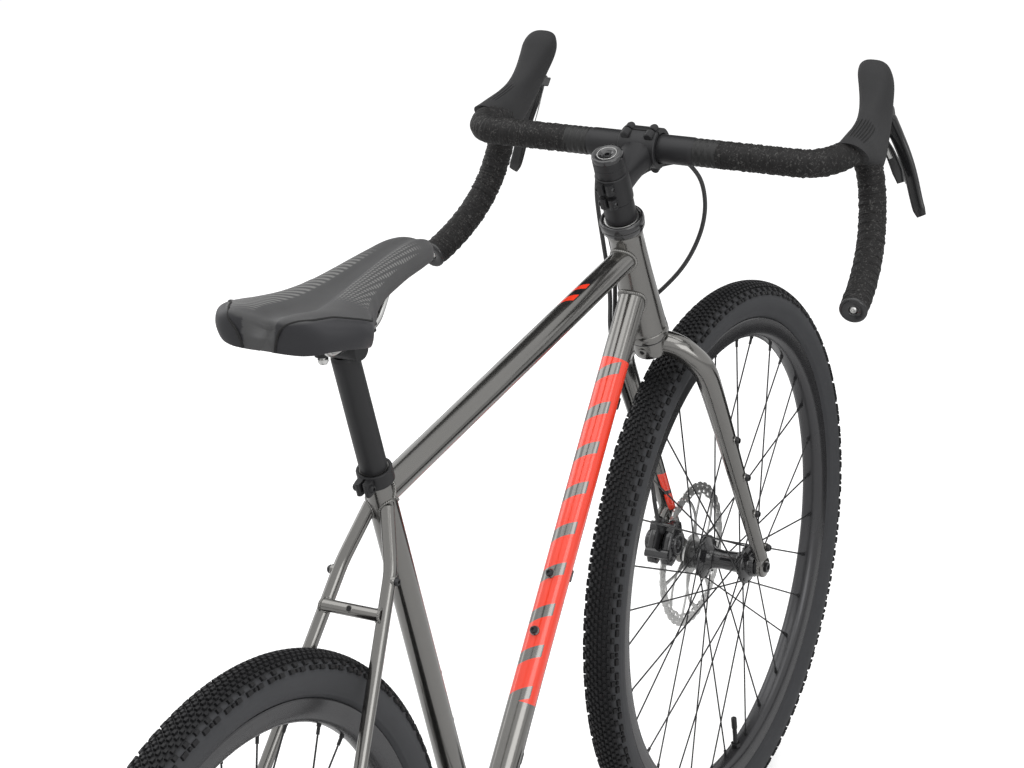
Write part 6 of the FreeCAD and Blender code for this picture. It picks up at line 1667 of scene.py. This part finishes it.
class BikePaint(bpy.types.PropertyGroup):
    """Colours that a user would change."""

    frame_colour: bpy.props.FloatVectorProperty(
        name="Frame", description="Colour of the frame's metallic paint", subtype="COLOR", size=3, min=0,
        max=1, default=(0.172, 0.168, 0.160))
    accent_colour: bpy.props.FloatVectorProperty(
        name="Accent", description="Colour of the plain blocks on the tubes", subtype="COLOR", size=3, min=0,
        max=1, default=(0.94, 0.050, 0.018))


class BikeSizes(bpy.types.PropertyGroup):
    """Sizes that a user would change."""

    knob_height: bpy.props.FloatProperty(
        name="Knob height", description="How far the tread's knobs stand proud", default=0.0027, min=0.0005,
        max=0.003, unit="LENGTH")
    tape_pitch: bpy.props.FloatProperty(
        name="Tape pitch", description="Distance between two turns of bar tape", default=0.0115, min=0.006,
        max=0.025, unit="LENGTH")


class BikeStage(bpy.types.PropertyGroup):
    """Levels of the studio light."""

    fill_level: bpy.props.FloatProperty(
        name="Fill", description="Strength of the surrounding light on the bike", default=0.55, min=0, max=2)
    floor_lift: bpy.props.FloatProperty(
        name="Floor lift", description="Glow that takes the floor to white", default=0.5, min=0, max=1)
    over_power: bpy.props.FloatProperty(
        name="Overhead", description="Power of the overhead soft box", default=55.0, min=0, unit="POWER")
    side_power: bpy.props.FloatProperty(
        name="Sides", description="Power of the side soft boxes", default=28.0, min=0, unit="POWER")


class BIKE_OT_stage(bpy.types.Operator):
    """Set up the floor, the lights and the camera"""

    bl_idname = "bike.stage"
    bl_label = "Stage"

    def execute(self, context):
        context.scene.view_settings.view_transform = "Standard"
        camera()
        stage(context.scene.bike_stage)
        return {"FINISHED"}


class BIKE_OT_hoses(bpy.types.Operator):
    """Lay the brake hoses and the shift housing"""

    bl_idname = "bike.hoses"
    bl_label = "Hoses"

    def execute(self, context):
        hoses()
        return {"FINISHED"}


class BIKE_OT_frame(bpy.types.Operator):
    """Build the welded frame with its bolts and collar"""

    bl_idname = "bike.frame"
    bl_label = "Frame"

    def execute(self, context):
        main_tubes()
        stays()
        weld_beads()
        frame_bolts()
        dress("frame_paint", "rear_dropouts")
        return {"FINISHED"}


class BIKE_OT_seat(bpy.types.Operator):
    """Build the saddle, its rails and the post"""

    bl_idname = "bike.seat"
    bl_label = "Seat"

    def execute(self, context):
        saddle_pad()
        saddle_base()
        return {"FINISHED"}


class BIKE_OT_steering(bpy.types.Operator):
    """Build the fork, the headset and the stem"""

    bl_idname = "bike.steering"
    bl_label = "Steering"

    def execute(self, context):
        headset_stack()
        stem_and_bolts(crown_and_blades())
        dress("bolt_black", "front_axle")
        return {"FINISHED"}


class BIKE_OT_bar(bpy.types.Operator):
    """Build the handlebar with its tape, hoods and levers"""

    bl_idname = "bike.bar"
    bl_label = "Handlebar"

    def execute(self, context):
        handlebar()
        bar_plugs()
        for name, side in SIDES.items():
            wound_tape(name, side)
            hood(name, side)
            lever(name, side)
        paddle()
        return {"FINISHED"}


class BIKE_OT_wheels(bpy.types.Operator):
    """Build both wheels and their brake discs"""

    bl_idname = "bike.wheels"
    bl_label = "Wheels"

    def execute(self, context):
        wheel_set()
        dress("bolt_black", "rear_axle")
        return {"FINISHED"}


class BIKE_OT_brakes(bpy.types.Operator):
    """Build the two brake calipers"""

    bl_idname = "bike.brakes"
    bl_label = "Brakes"

    def execute(self, context):
        calipers()
        return {"FINISHED"}


class BIKE_OT_drive(bpy.types.Operator):
    """Build the cranks, pedals and derailleur, and finish the chain and its wheels"""

    bl_idname = "bike.drive"
    bl_label = "Drive"

    def execute(self, context):
        crank_arms()
        pedals()
        derailleur()
        dress("dark_steel", "chain", "cassette")
        dress("satin_black", "chainring", "bottom_bracket")
        dress("plain_plastic", "guide_pulley", "tension_pulley")
        return {"FINISHED"}


OPERATORS = (BIKE_OT_stage, BIKE_OT_hoses, BIKE_OT_frame, BIKE_OT_seat, BIKE_OT_steering, BIKE_OT_bar,
             BIKE_OT_wheels, BIKE_OT_brakes, BIKE_OT_drive)
GROUPS = {"bike_paint": BikePaint, "bike_sizes": BikeSizes, "bike_stage": BikeStage}


class BIKE_PT_looks(bpy.types.Panel):
    """Lists the settings and the steps that build the bike"""

    bl_idname = "BIKE_PT_looks"
    bl_label = "Gravel Bike"
    bl_space_type = "VIEW_3D"
    bl_region_type = "UI"
    bl_category = "Bike"

    def draw(self, context):
        for group in GROUPS:
            box = self.layout.box()
            settings = getattr(context.scene, group)
            for name in GROUPS[group].__annotations__:
                box.prop(settings, name)
        for operator in OPERATORS:
            self.layout.operator(operator.bl_idname)


CLASSES = (*GROUPS.values(), *OPERATORS, BIKE_PT_looks)


def register():
    """Adds the classes, and the settings to every scene."""
    for cls in CLASSES:
        bpy.utils.register_class(cls)
    for name, group in GROUPS.items():
        setattr(bpy.types.Scene, name, bpy.props.PointerProperty(type=group))


def unregister():
    """Takes the settings and the classes away again."""
    for name in GROUPS:
        delattr(bpy.types.Scene, name)
    for cls in reversed(CLASSES):
        bpy.utils.unregister_class(cls)


def main():
    """Builds the bike step by step."""
    register()
    for operator in OPERATORS:
        group, name = operator.bl_idname.split(".")
        getattr(getattr(bpy.ops, group), name)()


if __name__ == "__main__":
    main()
